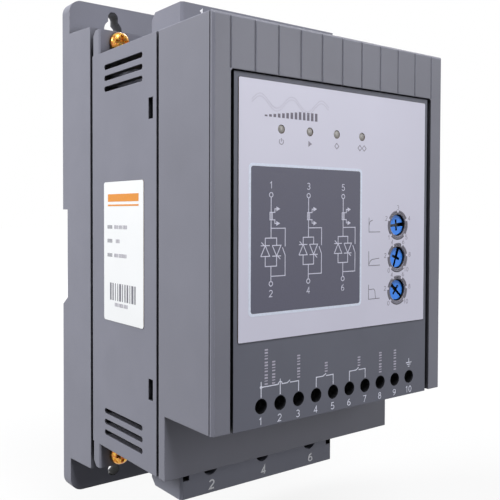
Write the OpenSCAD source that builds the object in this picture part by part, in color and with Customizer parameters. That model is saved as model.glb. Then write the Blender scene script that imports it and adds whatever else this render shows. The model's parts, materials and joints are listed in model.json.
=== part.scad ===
// Three-phase soft starter in a flat grey housing, for a wall or a 35 mm rail.
// X runs to the right, the wall is the plane y = 0, the front faces -Y and Z is up.
// Depths are distances from the wall, so a depth d lies at y = -d.

/* [Housing] */
// Width of the housing and of the wall plate
body_w = 104; // [102:1:120]
// Depth from the wall to the front frame
depth = 108; // [106:1:120]
// Height of the main body and of the front cover
body_h = 145; // [143:1:160]
// Wall thickness of the mouldings
wall = 2.5; // [2:0.25:3]
// Thickness of the inner lip that closes a seam
seam_lip = 1.2; // [0.8:0.1:1.6]
// Gap between moulded pieces that fit together
fit_gap = 0.2; // [0.1:0.05:0.3]

/* [Wall plate and tray] */
// Height by which the plate stands out past the tray's rim at each end
plate_out = 15; // [14:0.5:20]
// Thickness of the wall plate
plate_t = 7; // [6.5:0.5:8]
// Corner radius of the wall plate
plate_corner_r = 5; // [2:0.5:6]
// Height by which the tray stands out past the body's flange at each end
tray_out = 2.25; // [1.5:0.25:4]
// Depth of the tray's rim
tray_d = 26; // [25:0.5:28]
// Extra height of the tray at each end where it meets the plate
tray_draft = 1.2; // [0:0.1:1.4]
// Gap between the tray's rim and the main body
rear_seam = 2; // [1:0.1:2.4]
// Spacing of the fixing holes across the plate
fixing_x = 66; // [56:1:80]
// Distance of the keyhole slots from the plate's top edge
keyhole_inset = 4.4; // [4:0.1:5]
// Width of a keyhole slot
keyhole_slot_w = 4.4; // [4:0.1:5]
// Radius of the round head of a keyhole
keyhole_head_r = 4; // [3.5:0.1:4.2]
// Distance from a keyhole's slot end to its head
keyhole_drop = 5.2; // [4.8:0.1:5.4]
// Distance of the lower holes from the plate's bottom edge
lower_hole_inset = 5.3; // [4.5:0.1:6]
// Radius of the lower holes
lower_hole_r = 2.6; // [2:0.1:3]
// Number of vent slots in each end of the tray
vent_count = 10; // [4:2:10]
// Width of a vent slot
vent_w = 3; // [2:0.5:4]
// Distance of the vent slots from the heat sink's base
vent_margin = 1; // [0.5:0.5:3]
// Wall of the screw bosses
boss_wall = 2.2; // [1.8:0.1:2.4]
// Thickness of the web between a boss and the tray's side
boss_web_t = 2; // [1.5:0.25:3]

/* [Rail and rail clip] */
// Height of the rail
rail_h = 35; // [34:0.5:36]
// Play of the rail in its channel
rail_play = 0.5; // [0.3:0.1:1]
// Height of the middle of the rail
rail_z = -2.5; // [-6:0.5:4]
// Depth of the channel for the rail
channel_d = 4.5; // [4.3:0.1:5]
// Slope of the channel's lower edge
channel_slant = 3; // [1:0.5:4]
// Reach of the hooks behind the rail's edges
hook_reach = 1.5; // [1:0.1:2]
// Reach of the fixed hooks at the wall
hook_root = 0.6; // [0.4:0.1:0.8]
// Flat of the hooks' noses
hook_nose = 0.8; // [0.5:0.1:1.2]
// Room for the rail's edge between a hook and the channel's floor
rail_edge_room = 1.5; // [1.2:0.1:2]
// Width of each fixed hook
hook_w = 14; // [8:1:20]
// Spacing of the fixed hooks
hook_spacing = 60; // [40:2:70]
// Width of the rail clip's web
clip_w = 16; // [12:1:20]
// Width of each guide wing of the clip
clip_wing = 3; // [2:0.5:4]
// Thickness of the clip
clip_t = 2.4; // [2:0.1:2.6]
// Thickness of the clip's guide wings
clip_wing_t = 1.2; // [1:0.1:1.4]
// Length of the clip below its hook
clip_len = 30; // [24:1:36]
// Travel of the clip
clip_travel = 5; // [3:0.5:6]
// Gap round the sliding clip
clip_gap = 0.3; // [0.2:0.05:0.4]
// Width of the clip's pull slot
pull_w = 8; // [6:0.5:10]
// Height of the clip's pull slot
pull_h = 4; // [3:0.5:6]
// Distance of the pull slot from the clip's lower edge
pull_rise = 4; // [3:0.5:8]
// Length of the clip spring at rest
spring_len = 15; // [12:1:18]
// Outer radius of the clip spring
spring_r = 1.2; // [1:0.1:1.3]
// Wire diameter of the clip spring
spring_wire = 0.4; // [0.3:0.05:0.5]
// Turns of the clip spring
spring_turns = 7; // [5:1:9]
// Gap between the spring and each of its seats
spring_end_gap = 0.05; // [0.02:0.01:0.1]

/* [Main body] */
// Height by which the rear flange stands out past the body at each end
flange_out = 9.25; // [9:0.25:10]
// Thickness of the rear flange
flange_t = 5.8; // [5:0.1:6.5]
// Step of the flange's ends away from the tray
flange_step = 0.8; // [0:0.1:1.2]
// Bevel at the flange's rear ends
flange_bevel = 2; // [0.5:0.1:3]
// Chamfer of the flange's front side edges
flange_edge = 0.6; // [0.3:0.1:1]
// Depth of the main body's front rim
seam_d = 75.8; // [75:0.2:78]
// Gap between the main body and the front cover
front_seam = 1.5; // [0.8:0.1:2]
// Number of louvre slots in each group
louvre_count = 3; // [1:1:4]
// Length of a louvre slot
louvre_len = 28.5; // [20:0.5:30]
// Height of a louvre slot
louvre_h = 1.9; // [1.2:0.1:2.4]
// Pitch of the louvre slots
louvre_pitch = 3.95; // [3.2:0.05:5]
// Depth at which the louvre slots start
louvre_d = 38; // [36:0.5:42]
// Distance of the outermost louvre slot from the body's end
louvre_inset = 5.8; // [5:0.1:8]
// Distance of a body screw from the body's side
screw_inset_x = 8; // [7:0.5:10]
// Distance of a body screw from the flange's end
screw_inset_z = 4.2; // [4:0.1:4.4]
// Head radius of a body screw
body_screw_head_r = 3.9; // [3.5:0.1:4]
// Head height of a body screw
body_screw_head_h = 2.8; // [2:0.1:3.5]
// Shank radius of a body screw
body_screw_r = 1.95; // [1.5:0.05:2.2]
// Length of a body screw under its head
body_screw_len = 18; // [14:1:20]

/* [Front cover] */
// Depth of the skirt under the cover's box, from the seam
skirt_t = 3.7; // [3.2:0.1:6]
// Height of the skirt under the cover's box
skirt_h = 21; // [20:0.5:23]
// Width of the columns beside the front panel
column_w = 6.4; // [5:0.1:8]
// Height of the ribbed strip over the front panel
rib_h = 16.1; // [12:0.1:18]
// Number of ribs in the strip
rib_count = 10; // [6:1:14]
// Width of the V grooves between the ribs, twice their depth
rib_groove = 0.8; // [0.4:0.1:1.2]
// Chamfer round the cover's front
front_chamfer = 0.8; // [0.5:0.1:2]
// Width and depth of the shadow groove behind the chamfer
corner_groove = 0.5; // [0.3:0.1:0.8]
// Width of a latch window along the depth
latch_d = 2.9; // [2.4:0.1:3.5]
// Height of a latch window
latch_h = 7; // [5:0.5:9]
// Distance of the latch windows from the body's front rim
latch_inset = 2.3; // [2:0.1:3]
// Distance of the upper latch windows' middles from the body's top
latch_top_inset = 24.2; // [18:0.1:30]
// Height of the lower latch windows' middles over the bottom of the cover's box
latch_rise = 6.9; // [6.5:0.1:14]
// Thickness of a latch arm
latch_t = 1.5; // [1:0.1:2]
// Depth over which a latch arm is joined to the cover
latch_root_len = 6; // [4:0.5:8]
// Reach of a latch nose
nose_reach = 0.9; // [0.7:0.05:1.6]
// Flat of a latch nose
nose_flat = 0.6; // [0.4:0.1:1]

/* [Front panel] */
// Thickness of the front panel
panel_t = 3; // [2:0.25:3.5]
// Distance of the panel behind the front frame
panel_recess = 0.5; // [0:0.1:1.2]
// Gap between the panel and the columns
panel_gap = 1.5; // [0.8:0.1:2]
// Gap between the panel and the ribbed strip
panel_top_gap = 0.4; // [0.4:0.1:1.6]
// Overhang of the panel below the cover's box
panel_drop = 0.4; // [0:0.1:0.8]
// Radius of the upper corners of the panel's opening
window_r = 1.2; // [0.5:0.1:1.5]
// Width of the ledge behind the panel
ledge_w = 3.1; // [2.6:0.1:4]
// Thickness of the ledge behind the panel
ledge_t = 2; // [1.5:0.25:3]
// Thickness of the printed overlay
overlay_t = 0.3; // [0.2:0.05:0.5]
// Margin between the overlay and the panel's edges
overlay_margin = 1.6; // [1:0.1:3]
// Height of the overlay
overlay_h = 79.4; // [78:0.2:81]
// Corner radius of the overlay
overlay_r = 0.5; // [0.2:0.1:3]
// Width of the side sticker along the depth
sticker_w = 29.5; // [24:0.5:32]
// Height of the side sticker
sticker_h = 50; // [40:1:80]
// Depth at which the side sticker starts
sticker_d = 38; // [36:0.5:42]
// Thickness of the side sticker
sticker_t = 0.2; // [0.1:0.05:0.3]
// Corner radius of the side sticker
sticker_r = 1; // [0.5:0.1:2]

/* [Power terminals] */
// Pitch of the power poles
pole_pitch = 24; // [23:0.5:25]
// Distance from an outer pole to the end of a terminal block
pole_margin = 12.5; // [11.5:0.5:14]
// Depth of the front of the terminal blocks
block_d = 66; // [65:0.5:68]
// Thickness of the terminal blocks along the depth
block_t = 20.5; // [19.5:0.5:21]
// Height by which the terminal blocks stand out of the body
block_out = 14.8; // [13.5:0.1:17]
// Height of a terminal block's collar inside the body
block_in = 6; // [4:0.5:8]
// Overhang of the collar round the block
block_collar = 1.2; // [0.8:0.1:2]
// Chamfer at the rear outer edge of the terminal blocks
block_chamfer = 2.5; // [1:0.1:4]
// Chamfer at the front corners of the terminal blocks
block_corner = 0.9; // [0.4:0.1:1.5]
// Width of the notch at each end of a block's front
notch_w = 2.5; // [1.5:0.1:3]
// Height of that notch from the body's end
notch_h = 8.3; // [6:0.1:10]
// Wall of a terminal block behind the wire wells
block_wall = 2; // [1.5:0.1:2.5]
// Width of a wire well
well_w = 13; // [12:0.25:13.5]
// Gap round a clamp in its well
well_gap = 0.15; // [0.1:0.05:0.3]
// Radius of a screwdriver hole
driver_r = 3.1; // [3:0.05:3.4]
// Distance of the screwdriver holes from the body's end
driver_out = 5.2; // [5:0.1:6.5]
// Height of a clamp
clamp_h = 9.5; // [8:0.25:11]
// Wall of a clamp
clamp_t = 1.6; // [1.2:0.1:2]
// Front wall of a clamp, which carries its screw
clamp_nut_t = 2.8; // [2:0.1:3.5]
// Radius of a clamp screw's shank
clamp_screw_r = 2; // [1.5:0.1:2.4]
// Radius of a clamp screw's head
clamp_head_r = 2.85; // [2.5:0.05:2.9]
// Height of a clamp screw's head
clamp_head_h = 2.5; // [2:0.1:3]
// Gap between a clamp and the head of its screw
clamp_screw_lift = 0.5; // [0.2:0.1:1]

/* [Power path] */
// Thickness of the heat sink's base
sink_base_t = 6; // [5:0.5:8]
// Gap between the heat sink and the tray's sides
sink_side_gap = 3.5; // [1:0.25:6]
// Gap between the heat sink and the level of the body's end walls
sink_end_gap = 8; // [4:0.5:12]
// Number of fins
fin_count = 11; // [7:2:13]
// Thickness of a fin
fin_t = 2; // [1.5:0.25:2.5]
// Distance of the outer fins from the heat sink's sides
fin_margin = 13; // [12:0.5:16]
// Gap between the fins and the tray's floor
fin_gap = 3; // [1:0.5:5]
// Distance of the heat sink's screw heads from its sides
sink_screw_margin = 1; // [0.5:0.5:2]
// Distance of the heat sink's screws from its ends
sink_screw_inset = 20.7; // [18:0.1:24]
// Length of a heat sink screw in its boss
sink_screw_grip = 6; // [4:0.5:8]
// Height of a thyristor module's tower
module_h = 60; // [54:1:64]
// Height of each fixing ear of a module
module_ear = 6; // [5.6:0.1:7]
// Thickness of a module's ears
module_ear_t = 3; // [2:0.25:4]
// Gap between two modules
module_gap = 2; // [1:0.25:4]
// Bevel at the front ends of a module
module_bevel = 1.5; // [0.5:0.25:2.5]
// Distance of a module's terminals from its ends
module_terminal_inset = 6; // [5.5:0.25:8]
// Head radius of a module screw
module_head_r = 2.8; // [2.4:0.1:2.8]
// Length of a module screw in the heat sink
module_screw_grip = 5; // [3:0.25:5]
// Width of a busbar
bar_w = 9; // [7:0.25:9.2]
// Thickness of a busbar
bar_t = 2; // [1.5:0.1:2.5]
// Length of a busbar screw in its module
bar_screw_grip = 8; // [5:0.5:10]
// Depth left free under a screw in a blind hole
blind_room = 1; // [0.5:0.25:2]
// Outer radius of a current transformer's ring
ring_r = 10.4; // [9:0.1:10.5]
// Inner radius of a current transformer's ring
ring_bore_r = 6.2; // [5.6:0.1:7]
// Height of a current transformer
ring_h = 12; // [8:0.5:14]
// Height of the current transformers' middles over the body's lower wall
ring_rise = 22; // [21:0.5:24]
// Width of a current transformer's foot
ring_foot_w = 10.4; // [8:0.2:14]
// Shank radius of the small machine screws
screw_r = 1.8; // [1.4:0.05:2]
// Head radius of the small machine screws
screw_head_r = 3.2; // [2.6:0.1:3.4]
// Head height of the small machine screws
screw_head_h = 2.4; // [1.8:0.1:2.8]
// Radial gap round a screw in its hole
screw_gap = 0.1; // [0.05:0.05:0.2]

/* [Boards] */
// Thickness of the circuit boards
pcb_t = 1.6; // [1.2:0.2:2]
// Gap between the busbars and the power board
board_rise = 10.6; // [10.4:0.1:12]
// Gap between the power board and the body's sides
board_side_gap = 3.5; // [2:0.25:5]
// Gap between the power board and the terminal blocks
board_end_gap = 1.8; // [1:0.1:4]
// Gap between the control board and the ledges beside it
control_side_gap = 1.5; // [0.5:0.25:3]
// Distance between the front panel and the control board
control_board_gap = 11.5; // [11:0.1:12.5]
// Clearance under the control board
control_board_rise = 1; // [0.5:0.1:2]
// Height of the control board
control_board_h = 102; // [100:0.5:104]
// Across-flats size of a board spacer
spacer_af = 6; // [5:0.5:7]
// Distance of the board spacers from the power board's sides
spacer_inset_x = 6; // [4:0.5:8]
// Distance of the board spacers from the power board's ends
spacer_inset_z = 4; // [3.5:0.1:4.5]
// Radius of the posts behind the front panel
post_r = 3; // [2.5:0.1:3.5]
// Distance of the lower posts from the control terminals
post_margin = 1.5; // [1:0.25:3]
// Shank radius of the board screws
board_screw_r = 1.2; // [1:0.05:1.4]
// Head radius of the board screws
board_head_r = 2.4; // [2:0.1:2.6]
// Length of a board screw in its spacer or post
board_screw_grip = 6; // [4:0.5:7]
// Width of a bypass relay
relay_w = 20; // [16:1:22]
// Height of a bypass relay
relay_h = 30; // [26:1:32]
// Depth of a bypass relay
relay_d = 16; // [12:1:18]
// Height of the bypass relays' middles over the power board's middle
relay_z = 23.5; // [22:0.5:25]
// Width of a snubber capacitor
snubber_w = 18; // [14:1:22]
// Height of a snubber capacitor
snubber_h = 8; // [6:0.5:9]
// Depth of a snubber capacitor
snubber_d = 13; // [10:1:16]
// Gap between the bypass relays and the snubber capacitors
snubber_gap = 3; // [2:0.5:4]
// Radius of a surge varistor's disc
varistor_r = 5; // [3.5:0.5:6]
// Thickness of a surge varistor
varistor_t = 4; // [3:0.5:5]
// Width of a surge varistor's leads
varistor_lead = 0.8; // [0.6:0.1:1]
// Gap between the power board and a varistor's disc
varistor_rise = 1; // [0.5:0.25:2]
// Gap between the bypass relays and the surge varistors
varistor_gap = 6; // [4:0.5:8]
// Width of the supply transformer's core
core_w = 32; // [28:1:34]
// Height of the supply transformer's core
core_h = 14; // [12:0.5:18]
// Gap between the supply transformer's core and the control board
core_gap = 6.8; // [5:0.1:10]
// Width of the supply transformer's coil
coil_w = 20; // [18:0.5:24]
// Height of the supply transformer's coil
coil_h = 28; // [24:1:30]
// Step from the supply transformer's core down to its coil
coil_step = 4; // [3:0.5:6]
// Gap between the surge varistors and the supply transformer
transformer_gap = 12; // [11:0.5:13]
// Radius of the smoothing capacitor
capacitor_r = 5; // [4:0.5:6]
// Height of the smoothing capacitor
capacitor_h = 16; // [12:1:20]
// Depth of the smoothing capacitor's crimp
capacitor_crimp = 0.4; // [0.2:0.1:0.6]
// Gap between the transformer and the smoothing capacitor
capacitor_gap = 2; // [1.5:0.25:3]
// Width of an output relay
output_w = 13; // [11:0.5:14]
// Height of an output relay
output_h = 19; // [16:0.5:20]
// Depth of an output relay
output_d = 15; // [12:0.5:16]
// Gap between the output relays, and between them and a board screw
output_gap = 0.8; // [0.5:0.1:1.2]
// Distance of the output relays above the control board's lower edge
output_rise = 6.5; // [5:0.5:8]
// Width of the link's sockets
link_w = 20; // [16:1:24]
// Height of the link's sockets
link_h = 5; // [4:0.5:6]
// Depth of each of the link's sockets
link_d = 8; // [6:0.5:9]
// Width of the socket's wall round the link's pins
link_wall = 1.25; // [1:0.25:1.5]
// Gap between the surge varistors and the link
link_gap = 3.5; // [2:0.5:5]
// Width of the processor
chip_w = 10; // [8:0.5:14]
// Height of the processor over its board
chip_t = 1.5; // [1:0.1:2]
// Distance of the processor above the middle of the control board
chip_rise = 12; // [8:1:16]

/* [Control terminals] */
// Number of control terminals
way_count = 10; // [8:1:10]
// Pitch of the control terminals
way_pitch = 7.62; // [7.5:0.02:7.7]
// Offset of the terminal row from the middle
way_x = 0.8; // [-1:0.1:1.5]
// Distance of the screw row above the cover box's bottom
way_rise = 6.1; // [5.8:0.1:6.4]
// Height of the control terminal block
way_h = 11.5; // [11:0.25:12.5]
// Radius of the holes over the control screws
way_hole_r = 2.35; // [2.2:0.05:2.5]
// Width of a control wire well
way_well_w = 5.4; // [5:0.1:5.8]
// Wall of the control terminal block behind the wells
way_wall = 1.6; // [1.2:0.1:2]
// Height of a control clamp
way_clamp_h = 5; // [4:0.25:5.5]
// Wall of a control clamp
way_clamp_t = 0.8; // [0.6:0.1:1]
// Height of a control screw's head
way_head_h = 2; // [1.6:0.1:2.4]

/* [Dials and lamps] */
// Distance of the dials from the overlay's right edge
dial_inset = 14.4; // [12:0.1:17]
// Height of the middle dial above the overlay's lower edge
dial_rise = 23.3; // [21:0.1:27]
// Pitch of the dials
dial_pitch = 11.6; // [11:0.1:13]
// Radius of a dial's rotor
dial_r = 3.5; // [3:0.1:4]
// Gap round a rotor in the panel
dial_gap = 0.4; // [0.3:0.05:0.6]
// Distance of a rotor's face behind the panel
dial_recess = 0.6; // [0.3:0.1:1]
// Gap between a rotor and its trimmer's body
dial_lift = 0.3; // [0.2:0.05:0.4]
// Radius of a rotor's journal
journal_r = 2; // [1.5:0.1:2.4]
// Length of a rotor's journal in its trimmer
journal_len = 4.5; // [3:0.25:6]
// Radial running gap of a journal
journal_gap = 0.05; // [0.03:0.01:0.1]
// Size of a trimmer's square body
trimmer_w = 9.6; // [9:0.1:10.4]
// Height of a trimmer's body
trimmer_h = 8.8; // [8:0.1:9]
// Depth of the driver slots in a rotor
dial_slot_d = 1.2; // [0.8:0.1:1.6]
// Width of the driver slots in a rotor
dial_slot_w = 0.9; // [0.8:0.1:1.2]
// Length of each arm of a rotor's short slot
dial_slot_len = 2; // [1.6:0.1:2.6]
// Width of the pointer's half of a rotor's long slot
pointer_w = 1.3; // [1.2:0.1:2]
// Angle of the first dial's pointer, from the right and anticlockwise
start_voltage_angle = 5; // [-45:5:225]
// Angle of the second dial's pointer
start_time_angle = 70; // [-45:5:225]
// Angle of the third dial's pointer
stop_time_angle = 140; // [-45:5:225]
// Distance of the first lamp from the overlay's left edge
lamp_inset = 16.4; // [14:0.1:20]
// Pitch of the lamps
lamp_pitch = 11.9; // [10:0.1:12.5]
// Distance of the lamps below the overlay's top edge
lamp_drop = 14.4; // [11:0.1:17]
// Radius of a lamp's lens
lamp_r = 1.3; // [1.2:0.05:1.6]
// Height of a lamp's lens
lamp_h = 5; // [4.8:0.1:5.5]
// Height of the dome on a lamp's lens
lamp_dome = 0.4; // [0.3:0.05:1]
// Height of a lamp's tip over the overlay
lamp_stand = 0.1; // [0.1:0.1:0.6]
// Width and height of the flange at a lamp's foot
lamp_flange = 0.5; // [0.3:0.1:0.8]
// Gap round a lamp in the panel
lamp_gap = 0.1; // [0.1:0.05:0.3]
// Wall of the tubes behind the lamps
lamp_tube_t = 1.2; // [0.8:0.1:1.4]

/* [Hidden] */
$fn = 48;

housing_grey = "#6d6e77";
black_plastic = "#2b2b2e";
white_plastic = "#e3e4e6";
pcb_green = "#2f6b45";
steel = "#b9bbbe";
brass = "#c9a24a";
copper = "#c77d4e";
aluminium = "#c4c7cb";
yellow_zinc = "#d8a83c";
dial_blue = "#3f8cff";
eps = 0.01;
over = 1;

half_w = body_w / 2;
half_h = body_h / 2;
inner_w = half_w - wall;
inner_h = half_h - wall;
poles = [-pole_pitch, 0, pole_pitch];
ends = [1, -1];
sides = [-1, 1];

// Shares of a screw head's height and radius that shape its crown and its cross recess
bevel_share = 0.35;
dome_share = 0.75;
recess_w_share = 0.32;
recess_len_share = 1.3;
bevel_arc = 90;
dome_arc = 15;

// Heights of the flange, the tray and the plate behind the body
flange_h = body_h + 2 * flange_out;
tray_h = flange_h + 2 * tray_out;
plate_h = tray_h + 2 * plate_out;

// Depths from the wall to the front
flange_d = tray_d + rear_seam;
flange_rear = flange_d + flange_step;
flange_front = flange_d + flange_t;
cover_d = seam_d + front_seam;
skirt_d = cover_d + skirt_t;
panel_front = depth - panel_recess;
panel_back = panel_front - panel_t;
cover_inner_d = panel_back - ledge_t;

// Rail channel and clip
channel_top = rail_z + (rail_h + rail_play) / 2;
channel_bottom = rail_z - (rail_h + rail_play) / 2;
hook_d = channel_d - rail_edge_room;
clip_back = hook_d - clip_t;
clip_top = rail_z - rail_h / 2 + hook_reach;
clip_bottom = channel_bottom - clip_len;
clip_recess_d = hook_d + clip_gap;
clip_wing_d = hook_d - clip_wing_t;
recess_bottom = clip_bottom - spring_len;

// Body screws and the bosses under them and under the heat sink
screw_x = half_w - screw_inset_x;
screw_z = flange_h / 2 - screw_inset_z;
boss_r = body_screw_r + boss_wall;
sink_d = flange_d - sink_base_t;
sink_w = 2 * (inner_w - sink_side_gap);
sink_h = 2 * (inner_h - sink_end_gap);
fin_pitch = (sink_w - 2 * fin_margin - fin_t) / (fin_count - 1);
sink_screw_x = sink_w / 2 - screw_head_r - sink_screw_margin;
sink_screw_z = sink_h / 2 - sink_screw_inset;

// Front cover and panel
box_bottom = -half_h + skirt_h;
window_w = half_w - column_w;
window_top = half_h - rib_h;
panel_w = window_w - panel_gap;
panel_top = window_top - panel_top_gap;
panel_bottom = box_bottom - panel_drop;
overlay_w = panel_w - overlay_margin;
overlay_top = panel_top - overlay_margin;
overlay_bottom = overlay_top - overlay_h;
latch_z = [half_h - latch_top_inset, box_bottom + latch_rise];
latch_root = cover_d + latch_root_len;

// Power terminals and power path
block_w = pole_pitch + pole_margin;
block_back = block_d - block_t;
block_end = half_h + block_out;
block_inner = inner_h - fit_gap - block_in;
well_back = block_back + block_wall;
well_front = well_back + well_w;
clamp_back = well_back + well_gap;
clamp_front = well_front - well_gap;
clamp_z = half_h + driver_out;
clamp_window = clamp_front - clamp_nut_t;
bar_d = clamp_back + clamp_t + well_gap;
bar_front = bar_d + bar_t;
bar_end = clamp_z + clamp_h / 2;
terminal_z = module_h / 2 - module_terminal_inset;
module_w = pole_pitch - module_gap;
ear_z = module_h / 2 + module_ear / 2;
ear_front = flange_d + module_ear_t;
ring_d = bar_d + bar_t / 2;
ring_z = -inner_h + ring_rise;

// Boards and the parts on the power board
board_d = bar_front + board_rise;
board_front = board_d + pcb_t;
power_board_w = 2 * (inner_w - board_side_gap);
power_board_h = 2 * (block_inner - board_end_gap);
control_front = panel_back - control_board_gap;
control_back = control_front - pcb_t;
control_bottom = box_bottom + wall + control_board_rise;
control_top = control_bottom + control_board_h;
control_board_w = 2 * (window_w - ledge_w - control_side_gap);
spacer_x = power_board_w / 2 - spacer_inset_x;
spacer_z = power_board_h / 2 - spacer_inset_z;
snubber_z = relay_z + relay_h / 2 + snubber_gap + snubber_h / 2;
varistor_z = relay_z - relay_h / 2 - varistor_gap - varistor_t / 2;
transformer_z = varistor_z - varistor_t / 2 - transformer_gap - coil_h / 2;
transformer_x = -spacer_x + core_w / 2;
core_d = control_back - board_front - core_gap;
coil_d = core_d - coil_step;
capacitor_x = transformer_x + core_w / 2 + capacitor_gap + capacitor_r;

// Control terminals
way_z = box_bottom + way_rise;
way_bottom = box_bottom + fit_gap;
way_top = way_bottom + way_h;
way_front = panel_back - fit_gap;
way_well_back = control_front + way_wall;
way_well_front = way_well_back + way_well_w;
way_clamp_z = way_z - way_clamp_h / 2;
way_first = way_x - (way_count - 1) * way_pitch / 2;
way_half = way_count * way_pitch / 2;

// Dials and lamps
dial_x = overlay_w - dial_inset;
dial_zs = [for (i = [1, 0, -1]) overlay_bottom + dial_rise + i * dial_pitch];
dial_angles = [start_voltage_angle, start_time_angle, stop_time_angle];
dial_face = panel_front - dial_recess;
trimmer_front = control_front + trimmer_h;
dial_back = trimmer_front + dial_lift;
lamp_xs = [for (i = [0 : 3]) -overlay_w + lamp_inset + i * lamp_pitch];
lamp_z = overlay_top - lamp_drop;
lamp_tip = panel_front + overlay_t + lamp_stand;
lamp_foot = lamp_tip - lamp_h;
lamp_tube_r = lamp_r + lamp_flange;

// Posts, relays and link of the control board
post_x = control_board_w / 2 - post_r;
post_z = [lamp_z, way_top + post_r + post_margin];
fault_x = post_x - board_head_r - output_gap - output_w / 2;
run_x = fault_x - output_w - output_gap;
output_z = control_bottom + output_rise + output_h / 2;
capacitor_z = output_z + output_h / 2 + output_gap + capacitor_r;
link_z = varistor_z - varistor_t / 2 - link_gap - link_h / 2;

// Box between two x, two depths and two heights
module slab(x, d, z) {
    translate([x[0], -d[1], z[0]])
        cube([x[1] - x[0], d[1] - d[0], z[1] - z[0]]);
}

// Front outline in x and z, carried from one depth to another
module forward(d0, d1) {
    translate([0, -d0, 0])
        rotate([90, 0, 0])
            linear_extrude(d1 - d0) children();
}

// Side outline in depth and z, carried from one x to another
module across(x0, x1) {
    translate([x1, 0, 0])
        rotate([90, 0, -90])
            linear_extrude(x1 - x0) children();
}

// Plan outline in x and depth, carried from one height to another
module upward(z0, z1) {
    translate([0, 0, z1])
        rotate([180, 0, 0])
            linear_extrude(z1 - z0) children();
}

// Round bar along the depth
module rod(r, d0, d1, x, z) {
    translate([x, -d0, z])
        rotate([90, 0, 0])
            cylinder(r = r, h = d1 - d0);
}

// Flat rectangle between two x and two z
module rect(x, z) {
    translate([x[0], z[0]])
        square([x[1] - x[0], z[1] - z[0]]);
}

// Flat rectangle with round corners
module rounded(x, z, r) {
    rect([x[0] + r, x[1] - r], z);
    rect(x, [z[0] + r, z[1] - r]);
    for (cx = [x[0] + r, x[1] - r], cz = [z[0] + r, z[1] - r])
        translate([cx, cz]) circle(r);
}

// Plan of a block between two depths, with its two front corners cut off
module chamfered_plan(half, d0, d1, c) {
    polygon([[-half, d0], [half, d0], [half, d1 - c], [half - c, d1], [-half + c, d1], [-half, d1 - c]]);
}

// Screw with a cross recess that faces the front, with its head on the depth d
module pan_screw(x, z, d, head_r, head_h, shank_r, shank_len, share = bevel_share, arc = bevel_arc) {
    crown = head_h * share;
    difference() {
        union() {
            rod(shank_r, d - shank_len, d + eps, x, z);
            translate([x, -d, z])
                rotate([90, 0, 0])
                    rotate_extrude()
                        polygon(concat([[0, 0], [head_r, 0]],
                            [for (a = [0 : arc : 90]) [head_r, head_h] - crown * [1 - cos(a), 1 - sin(a)]],
                            [[0, head_h]]));
        }
        for (turn = [0, 90])
            translate([x, -d - head_h, z])
                rotate([0, turn, 0])
                    cube([head_r * recess_len_share, head_h, head_r * recess_w_share], center = true);
    }
}

// Wall plate with its tray, keyholes, lower holes and rail channel in one moulding
module mounting_base() {
    lower_hole_z = -plate_h / 2 + lower_hole_inset;
    color(housing_grey) {
        difference() {
            union() {
                forward(0, plate_t)
                    rounded([-half_w, half_w], [-plate_h / 2, plate_h / 2], plate_corner_r);
                tray_walls();
                tray_bosses();
            }
            rail_channel();
            clip_recess();
            for (s = sides) {
                keyhole(s * fixing_x / 2);
                rod(lower_hole_r, -over, plate_t + over, s * fixing_x / 2, lower_hole_z);
            }
            tray_vents();
            boss_holes();
        }
        rail_hooks();
    }
}

// Drafted tray with a lip along each side that closes the seam to the body
module tray_walls() {
    difference() {
        across(-half_w, half_w)
            polygon([[plate_t - eps, -tray_h / 2 - tray_draft], [tray_d, -tray_h / 2],
                [tray_d, tray_h / 2], [plate_t - eps, tray_h / 2 + tray_draft]]);
        slab([-inner_w, inner_w], [plate_t, tray_d + over], [-tray_h / 2 + wall, tray_h / 2 - wall]);
    }
    for (x = [-inner_w - seam_lip, inner_w])
        slab([x, x + seam_lip], [tray_d - eps, flange_d], [-inner_h, inner_h]);
}

// Pillars under the body screws and under the heat sink, the outer ones webbed to the tray's sides
module tray_bosses() {
    web_half = (inner_w - screw_x) / 2 + eps;
    for (s = sides, e = ends) {
        rod(boss_r, plate_t - eps, flange_rear, s * screw_x, e * screw_z);
        translate([s * (screw_x + inner_w) / 2, 0, e * screw_z])
            slab([-web_half, web_half], [plate_t - eps, tray_d], [-boss_web_t / 2, boss_web_t / 2]);
        rod(boss_r, plate_t - eps, sink_d, s * sink_screw_x, e * sink_screw_z);
    }
}

module boss_holes() {
    for (s = sides, e = ends) {
        rod(body_screw_r + screw_gap, plate_t + over, flange_rear + over, s * screw_x, e * screw_z);
        rod(screw_r + screw_gap, plate_t + over, sink_d + over, s * sink_screw_x, e * sink_screw_z);
    }
}

// Slots in both ends of the tray, between the fins
module tray_vents() {
    half = tray_h / 2 + tray_draft + over;
    for (i = [0 : vent_count - 1])
        translate([(i - (vent_count - 1) / 2) * fin_pitch, 0, 0])
            slab([-vent_w / 2, vent_w / 2], [plate_t + fin_gap, sink_d - vent_margin], [-half, half]);
}

// Slot with a round head, open at the front and the back of the plate
module keyhole(x) {
    slot_z = plate_h / 2 - keyhole_inset;
    slot_r = keyhole_slot_w / 2;
    rod(slot_r, -over, plate_t + over, x, slot_z);
    rod(keyhole_head_r, -over, plate_t + over, x, slot_z - keyhole_drop);
    slab([x - slot_r, x + slot_r], [-over, plate_t + over], [slot_z - keyhole_drop, slot_z]);
}

module rail_channel() {
    slope = channel_slant / channel_d;
    across(-half_w - over, half_w + over)
        polygon([[-over, channel_top], [channel_d, channel_top], [channel_d, channel_bottom],
            [-over, channel_bottom - slope * (channel_d + over)]]);
}

// Fixed hooks at the top of the channel, with tapered noses
module rail_hooks() {
    tip = channel_top - hook_reach;
    for (s = sides)
        translate([s * hook_spacing / 2, 0, 0])
            across(-hook_w / 2, hook_w / 2)
                polygon([[0, channel_top + eps], [0, channel_top - hook_root], [hook_d - hook_nose, tip],
                    [hook_d, tip], [hook_d, channel_top + eps]]);
}

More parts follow.
